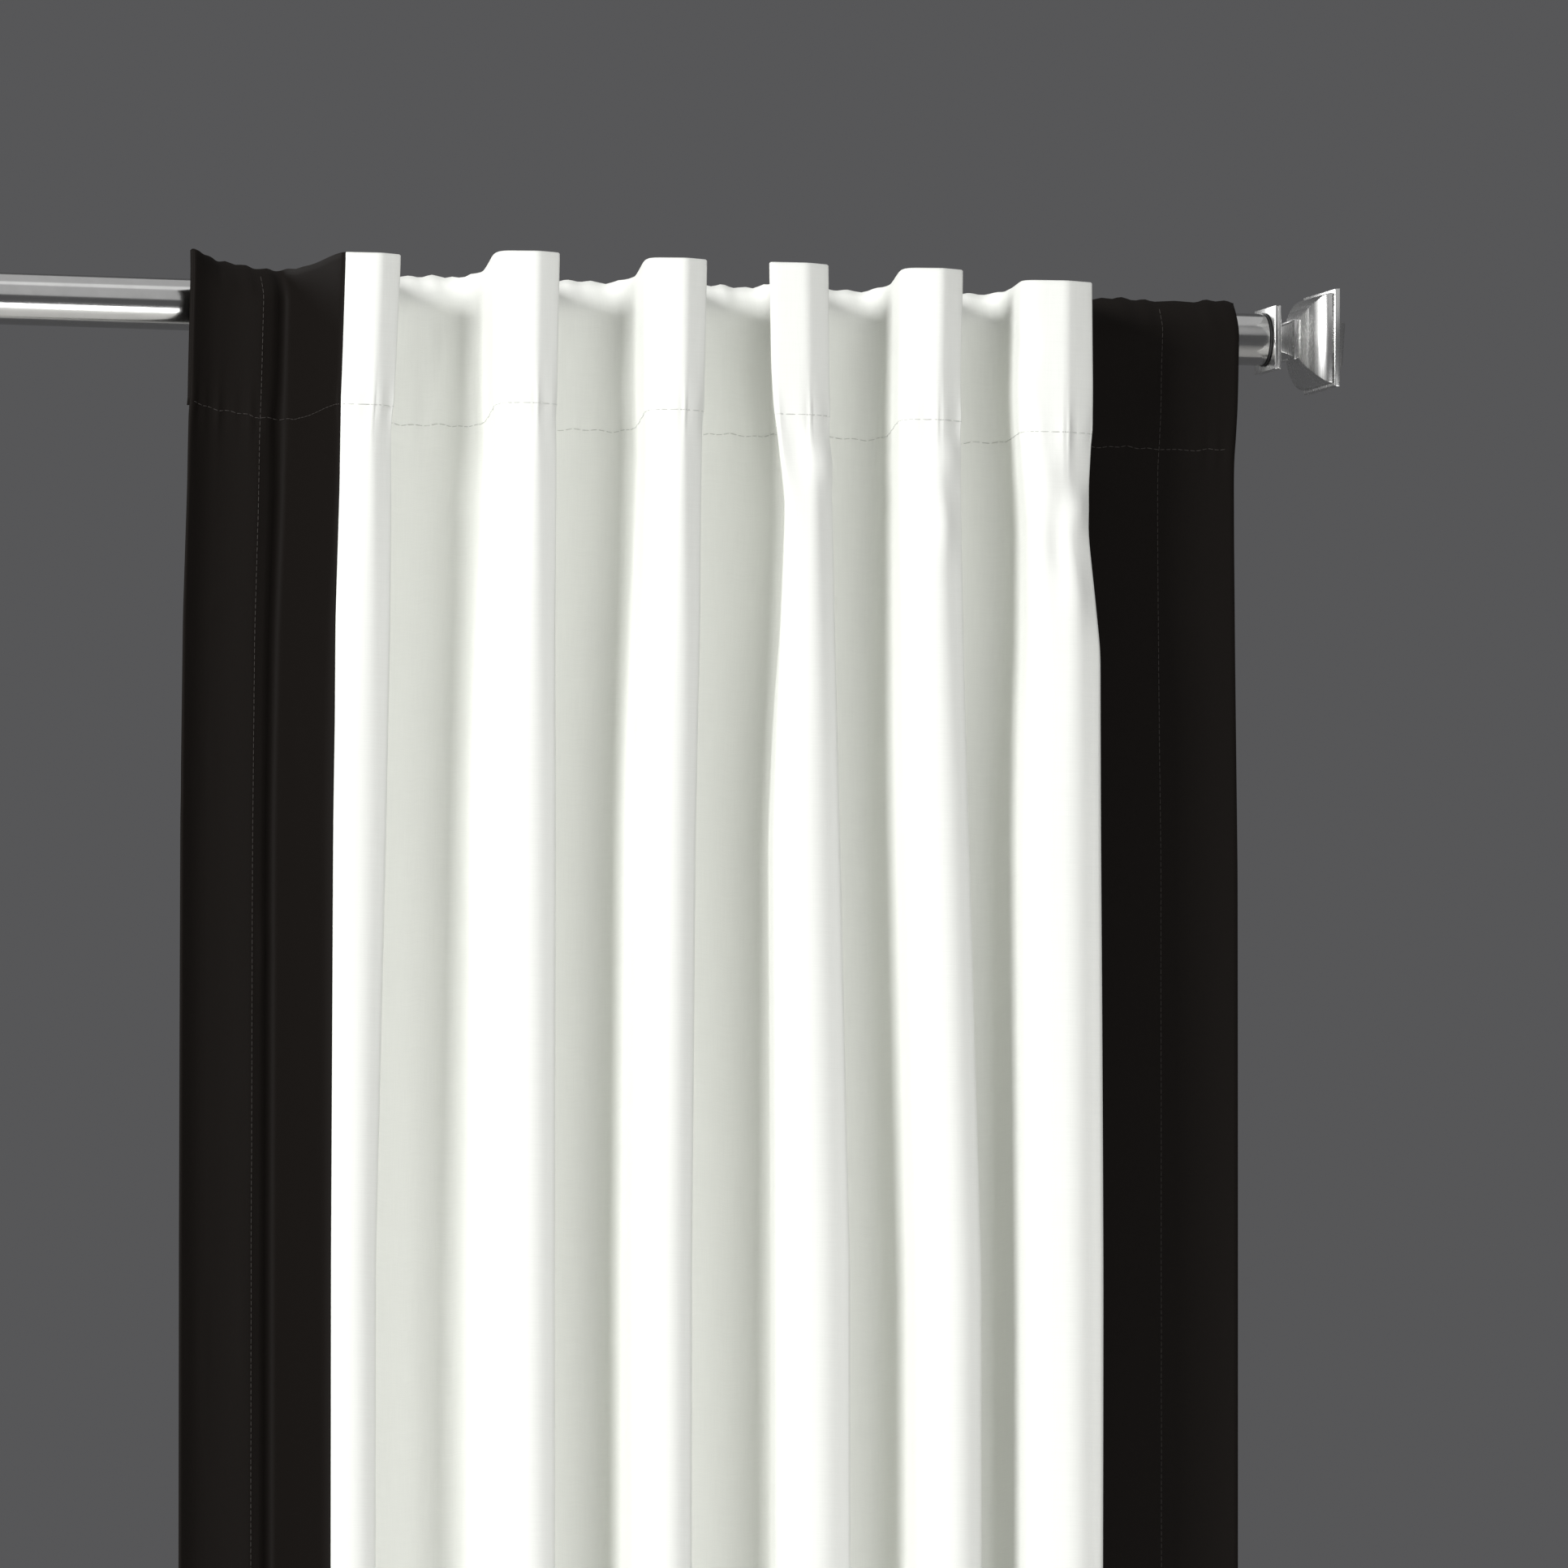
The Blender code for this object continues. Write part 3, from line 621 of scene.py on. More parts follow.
def grid_sheet(name, places, u, v, thickness, material):
    """A sheet through a grid of places, with its flat coordinates in metres as its UV map."""
    height, width = places.shape[:2]
    number = np.arange(height * width).reshape(height, width)
    around = [number[:-1, :-1], number[1:, :-1], number[1:, 1:], number[:-1, 1:]]
    faces = np.stack(around, axis=2).reshape(-1, 4)
    sheet = add_mesh(name, places.reshape(-1, 3), faces.tolist(), material)
    layer = sheet.data.uv_layers.new(name="cloth")
    uv = np.stack(np.meshgrid(np.array(u), -np.array(v)), axis=2).reshape(-1, 2)
    loops = np.zeros(len(sheet.data.loops), dtype=np.int32)
    sheet.data.loops.foreach_get("vertex_index", loops)
    layer.data.foreach_set("uv", uv[loops].astype(np.float32).ravel())
    wall = sheet.modifiers.new("thickness", "SOLIDIFY")
    wall.thickness = thickness
    wall.offset = -1.0
    apply_modifiers(sheet)
    return sheet


def folded_rows():
    """(row, layer, side) from the heading's turned edge at the back, over the top edge, down
    the front, round the bottom and up the bottom hem's back."""
    depth = CLOTH["depth"]
    heading = nearest(depth, HEADING)
    hem = nearest(depth, CURTAIN_LENGTH - BOTTOM_HEM)
    last = len(depth) - 1
    rows = [(i, 1.0, -1) for i in range(heading, -1, -1)]
    rows += [(0, 0.5, 0)]
    rows += [(i, 0.0, 1) for i in range(last + 1)]
    rows += [(last, 0.5, 2)]
    rows += [(i, 1.0, 3) for i in range(last, hem - 1, -1)]
    return rows


def folded_columns(first, last, hem_left, hem_right):
    """(column, layer, side) across one piece of cloth, with its side hem turned to the back."""
    across = CLOTH["across"]
    a, b = nearest(across, first), nearest(across, last)
    columns = []
    if hem_left:
        columns += [(i, 1.0, -1) for i in range(nearest(across, SIDE_HEM), 0, -1)]
        columns += [(0, 0.5, 0)]
    columns += [(i, 0.0, 1) for i in range(a, b + 1)]
    if hem_right:
        inner = nearest(across, PANEL_WIDTH - SIDE_HEM)
        columns += [(b, 0.5, 2)]
        columns += [(i, 1.0, 3) for i in range(b - 1, inner - 1, -1)]
    return columns


def unfolded(turns, values):
    """The flat coordinate of each row or column of a folded sheet."""
    flat = []
    for i, _, side in turns:
        if side < 0:
            flat.append(-values[i])
        elif side < 3:
            flat.append(values[i])
        else:
            flat.append(2 * values[-1] - values[i])
    return flat


def band_sheet(name, first, last, hem_left, hem_right, material):
    """One of the curtain's three pieces of cloth, with its hems folded to the back."""
    columns = folded_columns(first, last, hem_left, hem_right)
    rows = folded_rows()
    picked = np.ix_([r[0] for r in rows], [c[0] for c in columns])
    places = CLOTH["places"][picked].copy()
    back = np.array([r[1] for r in rows])[:, None] + np.array([c[1] for c in columns])[None, :]
    places -= CLOTH["normal"][picked] * (back * LAYER)[:, :, None]
    for k, (_, _, side) in enumerate(rows):
        places[k, :, 2] += {0: FOLD_PROUD, 2: -FOLD_PROUD}.get(side, 0.0)
    for k, (_, _, side) in enumerate(columns):
        places[:, k, 0] += {0: -FOLD_PROUD, 2: FOLD_PROUD}.get(side, 0.0)
    u = unfolded(columns, CLOTH["across"])
    v = unfolded(rows, CLOTH["depth"])
    return grid_sheet(name, places, u, v, CLOTH_THICK, material)


# ---------------------------------------------------------------- stitches


def on_cloth(across, depth):
    """Places and normals of the front of the cloth at flat coordinates."""
    rows = np.interp(depth, CLOTH["depth"], np.arange(len(CLOTH["depth"])))
    columns = np.interp(across, CLOTH["across"], np.arange(len(CLOTH["across"])))
    i = np.clip(rows.astype(int), 0, len(CLOTH["depth"]) - 2)
    j = np.clip(columns.astype(int), 0, len(CLOTH["across"]) - 2)
    a, b = (rows - i)[:, None], (columns - j)[:, None]
    found = []
    for key in ("places", "normal"):
        grid = CLOTH[key]
        upper = grid[i, j] * (1 - b) + grid[i, j + 1] * b
        lower = grid[i + 1, j] * (1 - b) + grid[i + 1, j + 1] * b
        found.append(upper * (1 - a) + lower * a)
    return found


def seam_points(kind, at, start, end):
    """Flat coordinates of both ends of every stitch in a straight seam."""
    count = max(1, int((end - start) / STITCH_PITCH))
    begins = start + np.arange(count) * STITCH_PITCH
    ends = begins + STITCH_LENGTH
    fixed = np.full(count, at)
    if kind == "across":
        return (begins, fixed), (ends, fixed)
    return (fixed, begins), (fixed, ends)


def stitch_mesh(name, stitches, material):
    """Short lengths of thread, each sunk into the cloth at both ends."""
    sides = 5
    profile = [(0.0, -0.10, 0.35), (0.18, 0.10, 0.9), (0.82, 0.10, 0.9), (1.0, -0.10, 0.35)]
    vertices, faces = [], []
    for start, end, normal in stitches:
        along = (end - start) / np.linalg.norm(end - start)
        side = np.cross(along, normal)
        base = len(vertices)
        for share, lift, size in profile:
            centre = start + (end - start) * share + normal * lift * THREAD
            for k in range(sides):
                angle = TURN * k / sides
                reach = normal * math.cos(angle) + side * math.sin(angle)
                vertices.append(centre + reach * (size * THREAD / 2))
        for ring in range(len(profile) - 1):
            for k in range(sides):
                a = base + ring * sides + k
                b = base + ring * sides + (k + 1) % sides
                faces.append((a, b, b + sides, a + sides))
        faces.append(tuple(base + k for k in reversed(range(sides))))
        faces.append(tuple(base + (len(profile) - 1) * sides + k for k in range(sides)))
    return add_mesh(name, vertices, faces, material)


def seam_stitches(name, seams, material):
    """The stitches of several seams, on the front and on the back of the folded layers."""
    stitches = []
    for kind, at, start, end in seams:
        from_flat, to_flat = seam_points(kind, at, start, end)
        begins, normals = on_cloth(*from_flat)
        ends, _ = on_cloth(*to_flat)
        for lift, way in ((THREAD * 0.15, 1.0), (-(LAYER + CLOTH_THICK + THREAD * 0.15), -1.0)):
            for a, b, n in zip(begins, ends, normals):
                stitches.append((a + n * lift, b + n * lift, n * way))
    return stitch_mesh(name, stitches, material)


# ---------------------------------------------------------------- the curtain


def build_bands():
    centre_nodes = ["recess_cloth_%d" % n for n in range(2, 7)]
    centre_nodes += ["pleat_%d" % n for n in range(1, 7)]
    cloth_nodes = {
        "left_band": ["leading_edge_cloth"],
        "centre_panel": centre_nodes,
        "right_band": ["trailing_edge_cloth"],
    }
    bands = [
        ("left_band", 0.0, LEFT_SEAM, True, False, DARK_CLOTH, DARK_THREAD, "dark_cloth"),
        ("centre_panel", LEFT_SEAM, RIGHT_SEAM, False, False, LIGHT_CLOTH, LIGHT_THREAD_PAINTED_SHADE, "light_cloth"),
        ("right_band", RIGHT_SEAM, PANEL_WIDTH, False, True, DARK_CLOTH, DARK_THREAD, "dark_cloth"),
    ]
    bottom = CURTAIN_LENGTH - BOTTOM_HEM + 0.004
    for name, first, last, hem_left, hem_right, material, thread, slot in bands:
        sheet = band_sheet(name, first, last, hem_left, hem_right, material)
        belongs(sheet, "trailing_edge", cloth_nodes[name])
        gathers(sheet)
        ends = (first + 0.002, last - 0.002)
        seams = [("across", SEAM_DEPTH, *ends), ("across", bottom, *ends)]
        if hem_left:
            seams.append(("down", SIDE_HEM - 0.002, 0.004, CURTAIN_LENGTH - 0.006))
        if hem_right:
            seams.append(("down", PANEL_WIDTH - SIDE_HEM + 0.002, 0.004, CURTAIN_LENGTH - 0.006))
        stitches = seam_stitches(name + "_stitches", seams, thread)
        belongs(stitches, "trailing_edge", [])
        gathers(stitches)


def tab_line(forward):
    """Middle of a back tab in (forward, up) from the rod's axis: from under the heading's top
    edge, over the rod, down behind it, and forward to the heading's seam."""
    radius = ROD_RADIUS + 0.0012
    line = []
    for i in range(5):
        share = i / 5
        angle = math.radians(133.0 - 33.0 * share)
        reach = radius + 0.0007 * (1.0 - share) + forward * 0.5 * (1.0 - share)
        line.append((reach * math.cos(angle), reach * math.sin(angle)))
    sewn = TAB_SEWN + forward
    last = math.atan2(-TAB_DROP, -sewn) + math.acos(radius / math.hypot(sewn, TAB_DROP))
    for i in range(29):
        angle = math.radians(100.0) + (last - math.radians(100.0)) * i / 28
        line.append((radius * math.cos(angle), radius * math.sin(angle)))
    begin = np.array(line[-1])
    for i in range(1, 13):
        share = i / 12
        point = begin + (np.array((-sewn, -TAB_DROP)) - begin) * share
        sag = 0.0009 * math.sin(math.pi * share)
        line.append((point[0] + sag, point[1]))
    line.append((-sewn - 0.0004, -TAB_DROP - 0.004))
    line.append((-sewn - 0.0004, -TAB_DROP - 0.008))
    return np.array(line)


def build_tab(number, body, forward):
    """A ribbon of doubled cloth with soft edges, and the stitches that hold its lower end."""
    low, high = corners("back_tab_%d" % number)
    middle, width = (low[0] + high[0]) / 2, high[0] - low[0]
    line = tab_line(forward)
    shares = np.array([-0.5, -0.49, -0.45, -0.3, -0.1, 0.1, 0.3, 0.45, 0.49, 0.5])
    steps = np.linalg.norm(np.diff(line, axis=0), axis=1)
    along = np.concatenate([[0.0], np.cumsum(steps)])
    places = np.zeros((len(line), len(shares), 3))
    pinch = 1.0 - 0.05 * np.sin(math.pi * along / along[-1]) * (1 + 0.3 * math.sin(number * 2.1))
    places[:, :, 0] = middle - shares[None, :] * width * pinch[:, None]
    ripple = 0.0003 * np.sin(shares[None, :] * 21.0 + along[:, None] * 90.0 + number)
    behind = smooth((along[:, None] - 0.02) / 0.02) * smooth((along[-1] - 0.02 - along[:, None]) / 0.01)
    places[:, :, 1] = AXIS_Y + line[:, None, 0] + (ripple + 0.0003) * behind
    places[:, :, 2] = AXIS_Z + line[:, None, 1]
    tab = grid_sheet("tab_%d" % number, places, shares * width, along, 0.0009, LIGHT_CLOTH)
    belongs(tab, body, ["back_tab_%d" % number])
    stitches = []
    end = places[-2]
    reach, backwards = np.array((STITCH_LENGTH, 0.0, 0.0)), np.array((0.0, 1.0, 0.0))
    for row in (0.0, 0.0030):
        count = int((width - 0.004) / STITCH_PITCH)
        for k in range(count):
            x = middle - width / 2 + 0.002 + k * STITCH_PITCH
            start = np.array((x, end[0][1] + 0.0010, end[0][2] - row))
            stitches.append((start, start + reach, backwards))
    sewing = stitch_mesh("tab_%d_stitches" % number, stitches, LIGHT_THREAD_PAINTED_SHADE)
    belongs(sewing, body, [])


# ---------------------------------------------------------------- metal and plastic


def extruded_bar(sides, stations):
    """A bar along +Z: one end face extruded and resized through (distance, radius) stations."""
    deselect()
    near, last = stations[0]
    turned = (0.0, 0.0, math.pi / sides)
    place = (0.0, 0.0, near)
    bpy.ops.mesh.primitive_circle_add(
        vertices=sides, radius=last, fill_type="NGON", location=place, rotation=turned
    )
    piece = bpy.context.object
    bake_place()
    bpy.ops.object.mode_set(mode="EDIT")
    bpy.ops.mesh.select_all(action="SELECT")
    for far, radius in stations[1:]:
        draw_out(0.0, 0.0, far - near)
        share = radius / last
        bpy.ops.transform.resize(value=(share, share, 1.0), center_override=(0.0, 0.0, far))
        near, last = far, radius
    bpy.ops.mesh.select_all(action="SELECT")
    bpy.ops.mesh.normals_make_consistent(inside=False)
    bpy.ops.object.mode_set(mode="OBJECT")
    return piece


def pick_faces(piece, wanted):
    """Selects the faces whose middle and normal pass a test, and leaves edit mode on."""
    make_active(piece)
    bpy.ops.object.mode_set(mode="EDIT")
    bpy.ops.mesh.select_mode(type="FACE")
    bpy.ops.mesh.select_all(action="DESELECT")
    bm = bmesh.from_edit_mesh(piece.data)
    for face in bm.faces:
        face.select_set(wanted(face.calc_center_median(), face.normal))
    bm.select_flush_mode()
    bmesh.update_edit_mesh(piece.data)


def bake_place():
    bpy.ops.object.transform_apply(location=True, rotation=True, scale=True)


def draw_out(x, y, z):
    """Extrudes what is selected."""
    bpy.ops.mesh.extrude_region_move(TRANSFORM_OT_translate={"value": (x, y, z)})


def edit_all(piece):
    make_active(piece)
    bpy.ops.object.mode_set(mode="EDIT")
    bpy.ops.mesh.select_mode(type="VERT")
    bpy.ops.mesh.select_all(action="SELECT")


def new_cube(size):
    """A cube of a size, as a start for a plate or a slot."""
    deselect()
    bpy.ops.mesh.primitive_cube_add(size=1.0)
    cube = bpy.context.object
    cube.scale = size
    bake_place()
    return cube


def done_editing():
    bpy.ops.mesh.select_all(action="SELECT")
    bpy.ops.mesh.normals_make_consistent(inside=False)
    bpy.ops.object.mode_set(mode="OBJECT")


def step_face(piece, wanted, border, move):
    """Insets a face and moves its middle, and leaves edit mode on."""
    pick_faces(piece, wanted)
    bpy.ops.mesh.inset(thickness=border, depth=0.0)
    draw_out(*move)


def rounded(piece, width, segments=2, angle=35.0):
    """Softens the piece's edges."""
    edge = piece.modifiers.new("edges", "BEVEL")
    edge.width = width
    edge.segments = segments
    edge.limit_method = "ANGLE"
    edge.angle_limit = math.radians(angle)
    edge.harden_normals = False
    apply_modifiers(piece)


def drilled(piece, cutter):
    """Cuts a cutter's shape out of a piece and removes the cutter."""
    hole = piece.modifiers.new("hole", "BOOLEAN")
    hole.operation = "DIFFERENCE"
    hole.solver = "EXACT"
    hole.object = cutter
    apply_modifiers(piece)
    bpy.data.objects.remove(cutter, do_unlink=True)


def set_down(piece, place, turn=(0.0, 0.0, 0.0)):
    """Turns and places a piece, and bakes that in so that its own origin is the frame's."""
    piece.rotation_euler = turn
    piece.location = place
    make_active(piece)
    bake_place()


def named(piece, name, material, smooth_angle=32.0):
    piece.name = name
    piece.data.name = name
    piece.data.materials.clear()
    piece.data.materials.append(material)
    make_active(piece)
    bpy.ops.object.shade_smooth_by_angle(angle=math.radians(smooth_angle))
    return piece


def moved_copy(piece, name, matrix):
    """A copy with its own mesh, moved by a matrix that is baked in."""
    twin = piece.copy()
    twin.data = piece.data.copy()
    twin.data.transform(matrix)
    twin.name = name
    twin.data.name = name
    bpy.context.scene.collection.objects.link(twin)
    return twin


ALONG_ROD = (0.0, math.radians(90.0), 0.0)
AWAY_FROM_WALL = (math.radians(90.0), 0.0, 0.0)
INTO_WALL = (math.radians(-90.0), 0.0, 0.0)
UPSIDE_DOWN = (math.radians(180.0), 0.0, 0.0)
ROOT_TWO = math.sqrt(2.0)


def build_tube(name, node, body):
    """A rolled tube with eased rims and a faint lock seam along its back."""
    low, high = corners(node)
    radius = (high[2] - low[2]) / 2
    deselect()
    bpy.ops.mesh.primitive_circle_add(vertices=96, radius=radius, location=(0.0, 0.0, low[0]))
    tube = bpy.context.object
    bake_place()
    edit_all(tube)
    draw_out(0.0, 0.0, high[0] - low[0])
    done_editing()
    pick_faces(tube, lambda c, n: c.y > 0.0 and abs(c.x) < radius * 0.05)
    bpy.ops.mesh.inset(thickness=0.0002, depth=-0.00012)
    done_editing()
    wall = tube.modifiers.new("wall", "SOLIDIFY")
    wall.thickness = TUBE_WALL
    wall.offset = -1.0
    apply_modifiers(tube)
    rounded(tube, 0.00025, 2, 60.0)
    set_down(tube, (0.0, AXIS_Y, AXIS_Z), ALONG_ROD)
    named(tube, name, TUBE_NICKEL)
    belongs(tube, body, [node])


def build_mouth_ring():
    """A plastic bush: a lip and a sleeve, bored through."""
    low, high = corners("tube_mouth_ring")
    lip_end = TUBE_LOW[0] - GAP
    sleeve = ROD_RADIUS - TUBE_WALL - GAP / 2
    stations = [(low[0], ROD_RADIUS), (lip_end, ROD_RADIUS), (lip_end, sleeve), (high[0], sleeve)]
    ring = extruded_bar(96, stations)
    inner_low, inner_high = corners("inner_tube")
    bore = (inner_high[2] - inner_low[2]) / 2 + GAP / 2
    drilled(ring, extruded_bar(96, [(low[0] - 0.01, bore), (high[0] + 0.01, bore)]))
    rounded(ring, 0.0003)
    set_down(ring, (0.0, AXIS_Y, AXIS_Z), ALONG_ROD)
    named(ring, "mouth_bush", BLACK_PLASTIC)
    belongs(ring, "rod", ["tube_mouth_ring"])


def bell_stations(start, end):
    """Half sides of the casting: a flared neck, a collar, and a bell that swells and levels off."""
    collar = start + NECK_LENGTH
    bell = collar + COLLAR_THICK
    rim = COLLAR_HALF - COLLAR_STEP
    stations = []
    for share in np.linspace(0.0, 1.0, 9).tolist():
        half = NECK_HALF + (NECK_END_HALF - NECK_HALF) * share ** 1.7
        stations.append((start + NECK_LENGTH * share, half))
    stations += [(collar, COLLAR_HALF), (bell - 0.0009, COLLAR_HALF), (bell - 0.0009, rim), (bell, rim)]
    for share in np.linspace(0.0, 1.0, 25).tolist():
        swell = (BELL_HALF - COLLAR_HALF) * math.sin(share * math.pi / 2) ** 0.85
        stations.append((bell + (end - bell) * share, COLLAR_HALF - COLLAR_STEP / 2 + swell))
    return stations


def square_bar(stations):
    """A square bar through (distance, half side) stations, its sides level and upright."""
    return extruded_bar(4, [(distance, half * ROOT_TWO) for distance, half in stations])


def build_flange(near, far):
    """A square plate with a shallow channel round its rim."""
    half = FLANGE_HALF
    middle = (near + far) / 2
    stations = [(near, half), (middle - 0.0007, half), (middle - 0.0004, half - 0.00035)]
    stations += [(middle + 0.0004, half - 0.00035), (middle + 0.0007, half), (far, half)]
    flange = square_bar(stations)
    rounded(flange, 0.00035, 3, 50.0)
    return flange


def build_face_plate(near, far):
    """A square plate whose face is dished inside a raised border."""
    half = FACE_HALF
    plate = square_bar([(near, half - 0.0004), (near + 0.0008, half - 0.0001), (far, half)])
    step_face(plate, lambda c, n: n.z > 0.9, 0.0022, (0.0, 0.0, -0.0007))
    bpy.ops.transform.resize(value=(0.975, 0.975, 1.0), center_override=(0.0, 0.0, far))
    done_editing()
    rounded(plate, 0.0003, 2, 30.0)
    return plate


def build_button(near, far):
    """A square boss with tapered sides and a raised centre."""
    half = BUTTON_HALF
    stations = [(near, half), (near + 0.0012, half), (far - 0.0008, half - 0.0008), (far, half - 0.0016)]
    button = square_bar(stations)
    step_face(button, lambda c, n: n.z > 0.9, 0.0026, (0.0, 0.0, -0.0005))
    done_editing()
    rounded(button, 0.0003, 2, 25.0)
    return button


def build_plug(bore, near):
    """A ribbed black plastic plug; its collar stands proud of the tube behind the flange as a dark line
    of painted shade for the shadow in the gap there.
    """
    body = bore - GAP
    stations = [(-PLUG_LENGTH, body - 0.0012), (-PLUG_LENGTH + 0.002, body)]
    for i in range(4):
        rib = -PLUG_LENGTH + 0.005 + i * 0.0055
        far_side, valley = rib + 0.0022, body - 0.0006
        stations += [(rib, body), (rib, valley), (far_side, valley), (far_side, body)]
    # The collar's black stands in for the shadow in the gap between the tube end and the flange: painted
    # shade.
    collar = ROD_RADIUS + PLUG_COLLAR_PROUD
    stations += [(near, body), (near, collar), (near + PLUG_COLLAR, collar)]
    plug = extruded_bar(72, stations)
    stud = STUD_RADIUS + GAP
    drilled(plug, extruded_bar(32, [(-PLUG_LENGTH - 0.01, stud), (0.02, stud)]))
    rounded(plug, 0.0002, 2, 50.0)
    return plug


def build_finials():
    """The right finial is modelled and copied to the left tube's end, half a turn about Z."""
    right_place = Vector((TUBE_HIGH[0], AXIS_Y, AXIS_Z))
    left_place = Vector((corners("inner_tube")[0][0], AXIS_Y, AXIS_Z))
    half_turn = Matrix.Translation(left_place) @ Matrix.Rotation(math.pi, 4, "Z")
    half_turn = half_turn @ Matrix.Translation(-right_place)
    spans = {}
    for part in ("flange", "bell", "face_plate", "button"):
        low, high = corners("right_finial_" + part)
        spans[part] = (float(low[0] - TUBE_HIGH[0]), float(high[0] - TUBE_HIGH[0]))
    bell = square_bar(bell_stations(*spans["bell"]))
    rounded(bell, 0.0003, 2, 50.0)
    castings = {
        "flange": build_flange(*spans["flange"]),
        "bell": bell,
        "face_plate": build_face_plate(*spans["face_plate"]),
        "button": build_button(*spans["button"]),
    }
    for part, piece in castings.items():
        turn = Matrix.Rotation(BUTTON_TURN if part == "button" else 0.0, 4, "X")
        stand = turn @ Matrix.Rotation(math.radians(90.0), 4, "Y")
        piece.data.transform(Matrix.Translation(right_place) @ stand)
        named(piece, "right_%s" % part, CAST_NICKEL, 30.0)
        twin = moved_copy(piece, "left_%s" % part, half_turn)
        belongs(piece, "right_finial", ["right_finial_" + part])
        belongs(twin, "left_finial", ["left_finial_" + part])
    bores = {"right": ROD_RADIUS - TUBE_WALL, "left": INNER_RADIUS - TUBE_WALL}
    for side, place in (("right", right_place), ("left", left_place)):
        plug = build_plug(bores[side], GAP)
        facing = 1.0 if side == "right" else -1.0
        set_down(plug, place, (0.0, facing * math.radians(90.0), 0.0))
        named(plug, side + "_plug", BLACK_PLASTIC)
        belongs(plug, side + "_finial", [side + "_finial_plug"])


def build_wall_plate():
    """A stamped plate with rounded corners, a raised boss behind the arm and two screw holes."""
    low, high = corners("right_wall_plate")
    width, height, thick = high[0] - low[0], high[2] - low[2], high[1] - low[1]
    plate = new_cube((width, thick, height))
    step_face(plate, lambda c, n: n.y < -0.9, 0.0020, (0.0, -0.0006, 0.0))
    done_editing()
    rounded(plate, 0.0006, 3, 30.0)
    for hole in PLATE_HOLES:
        wide, narrow = 0.0042, 0.00225
        cutter = extruded_bar(32, [(-0.01, wide), (-0.0024, wide), (0.0001, narrow), (0.01, narrow)])
        set_down(cutter, (0.0, 0.0, height / 2 - hole), INTO_WALL)
        drilled(plate, cutter)
    middle = [(float(a) + float(b)) / 2 for a, b in zip(low, high)]
    set_down(plate, middle)
    return named(plate, "right_plate", PLATE_NICKEL)


def build_arm():
    """A bar that widens into a foot on the plate and into a pad behind the cradle."""
    low, high = corners("right_bracket_arm")
    middle = ((low[0] + high[0]) / 2, (low[1] + high[1]) / 2, (low[2] + high[2]) / 2)
    half = (high[1] - low[1]) / 2
    thin, wide = 0.0046, 0.0064
    stations = [(-half, wide), (-half + 0.003, wide), (-half + 0.008, thin)]
    stations += [(half - 0.008, thin), (half - 0.003, wide), (half, wide)]
    arm = square_bar(stations)
    arm.scale = (0.82, 1.0, 1.0)
    set_down(arm, (0.0, 0.0, 0.0))
    rounded(arm, 0.0008, 3, 25.0)
    head = SCREW_ROOM + GAP
    cutter = extruded_bar(32, [(half - 0.012, head), (half + 0.01, head)])
    drilled(arm, cutter)
    set_down(arm, middle, AWAY_FROM_WALL)
    return named(arm, "right_arm", PLATE_NICKEL)


def cradle_corners(side):
    """Over the front, base and back of one cradle."""
    lows, highs = zip(*(corners("%s_cradle_%s" % (side, part)) for part in CRADLE_PARTS))
    return np.min(lows, axis=0), np.max(highs, axis=0)


def build_cradle():
    """A strip spun half a turn under the rod, with its ends drawn up and a rolled front lip."""
    low, high = cradle_corners("right")
    middle_x = (low[0] + high[0]) / 2
    width = high[0] - low[0]
    radius = ROD_RADIUS + CRADLE_GAP + CRADLE_WALL / 2
    deselect()
    bpy.ops.mesh.primitive_plane_add(size=1.0, location=(0.0, radius, 0.0))
    cradle = bpy.context.object
    cradle.scale = (width, CRADLE_WALL, 1.0)
    bake_place()
    bpy.ops.object.mode_set(mode="EDIT")
    bpy.ops.mesh.select_all(action="SELECT")
    bpy.ops.mesh.spin(steps=32, angle=-math.pi, center=(0.0, 0.0, 0.0), axis=(1.0, 0.0, 0.0))
    bpy.ops.mesh.select_all(action="SELECT")
    bpy.ops.mesh.remove_doubles(threshold=0.00001)
    done_editing()
    fill_open_ends(cradle)
    pick_faces(cradle, lambda c, n: n.z > 0.9 and c.y > 0.0 and abs(c.z) < 0.0001)
    draw_out(0.0, 0.0, float(high[2] - AXIS_Z))
    done_editing()
    pick_faces(cradle, lambda c, n: n.z > 0.9 and c.y < 0.0 and abs(c.z) < 0.0001)
    draw_out(0.0, 0.0, CRADLE_FRONT_RISE - 0.0012)
    draw_out(0.0, -0.0008, 0.0012)
    done_editing()
    rounded(cradle, 0.0004, 3, 40.0)
    hole = extruded_bar(32, [(0.010, SCREW_ROOM), (0.020, SCREW_ROOM)])
    set_down(hole, (0.0, 0.0, ARM_RISE), INTO_WALL)
    drilled(cradle, hole)
    hole = extruded_bar(32, [(0.010, 0.0022), (0.020, 0.0022)])
    set_down(hole, (0.0, 0.0, 0.0), UPSIDE_DOWN)
    drilled(cradle, hole)
    set_down(cradle, (middle_x, AXIS_Y, AXIS_Z))
    return named(cradle, "right_cup", PLATE_NICKEL)


def fill_open_ends(piece):
    """Closes any hole left in a piece's surface."""
    make_active(piece)
    bpy.ops.object.mode_set(mode="EDIT")
    bpy.ops.mesh.select_mode(type="EDGE")
    bpy.ops.mesh.select_all(action="DESELECT")
    bpy.ops.mesh.select_non_manifold()
    bm = bmesh.from_edit_mesh(piece.data)
    if any(edge.select for edge in bm.edges):
        bpy.ops.mesh.fill_holes(sides=0)
    done_editing()


def thread_turns(start, count):
    """Grooves round a screw's shank, a step apart."""
    stations = []
    for i in range(count):
        turn = start + i * THREAD_STEP
        stations += [(turn, SHANK), (turn + 0.00025, THREAD_ROOT), (turn + 0.0005, SHANK)]
    return stations


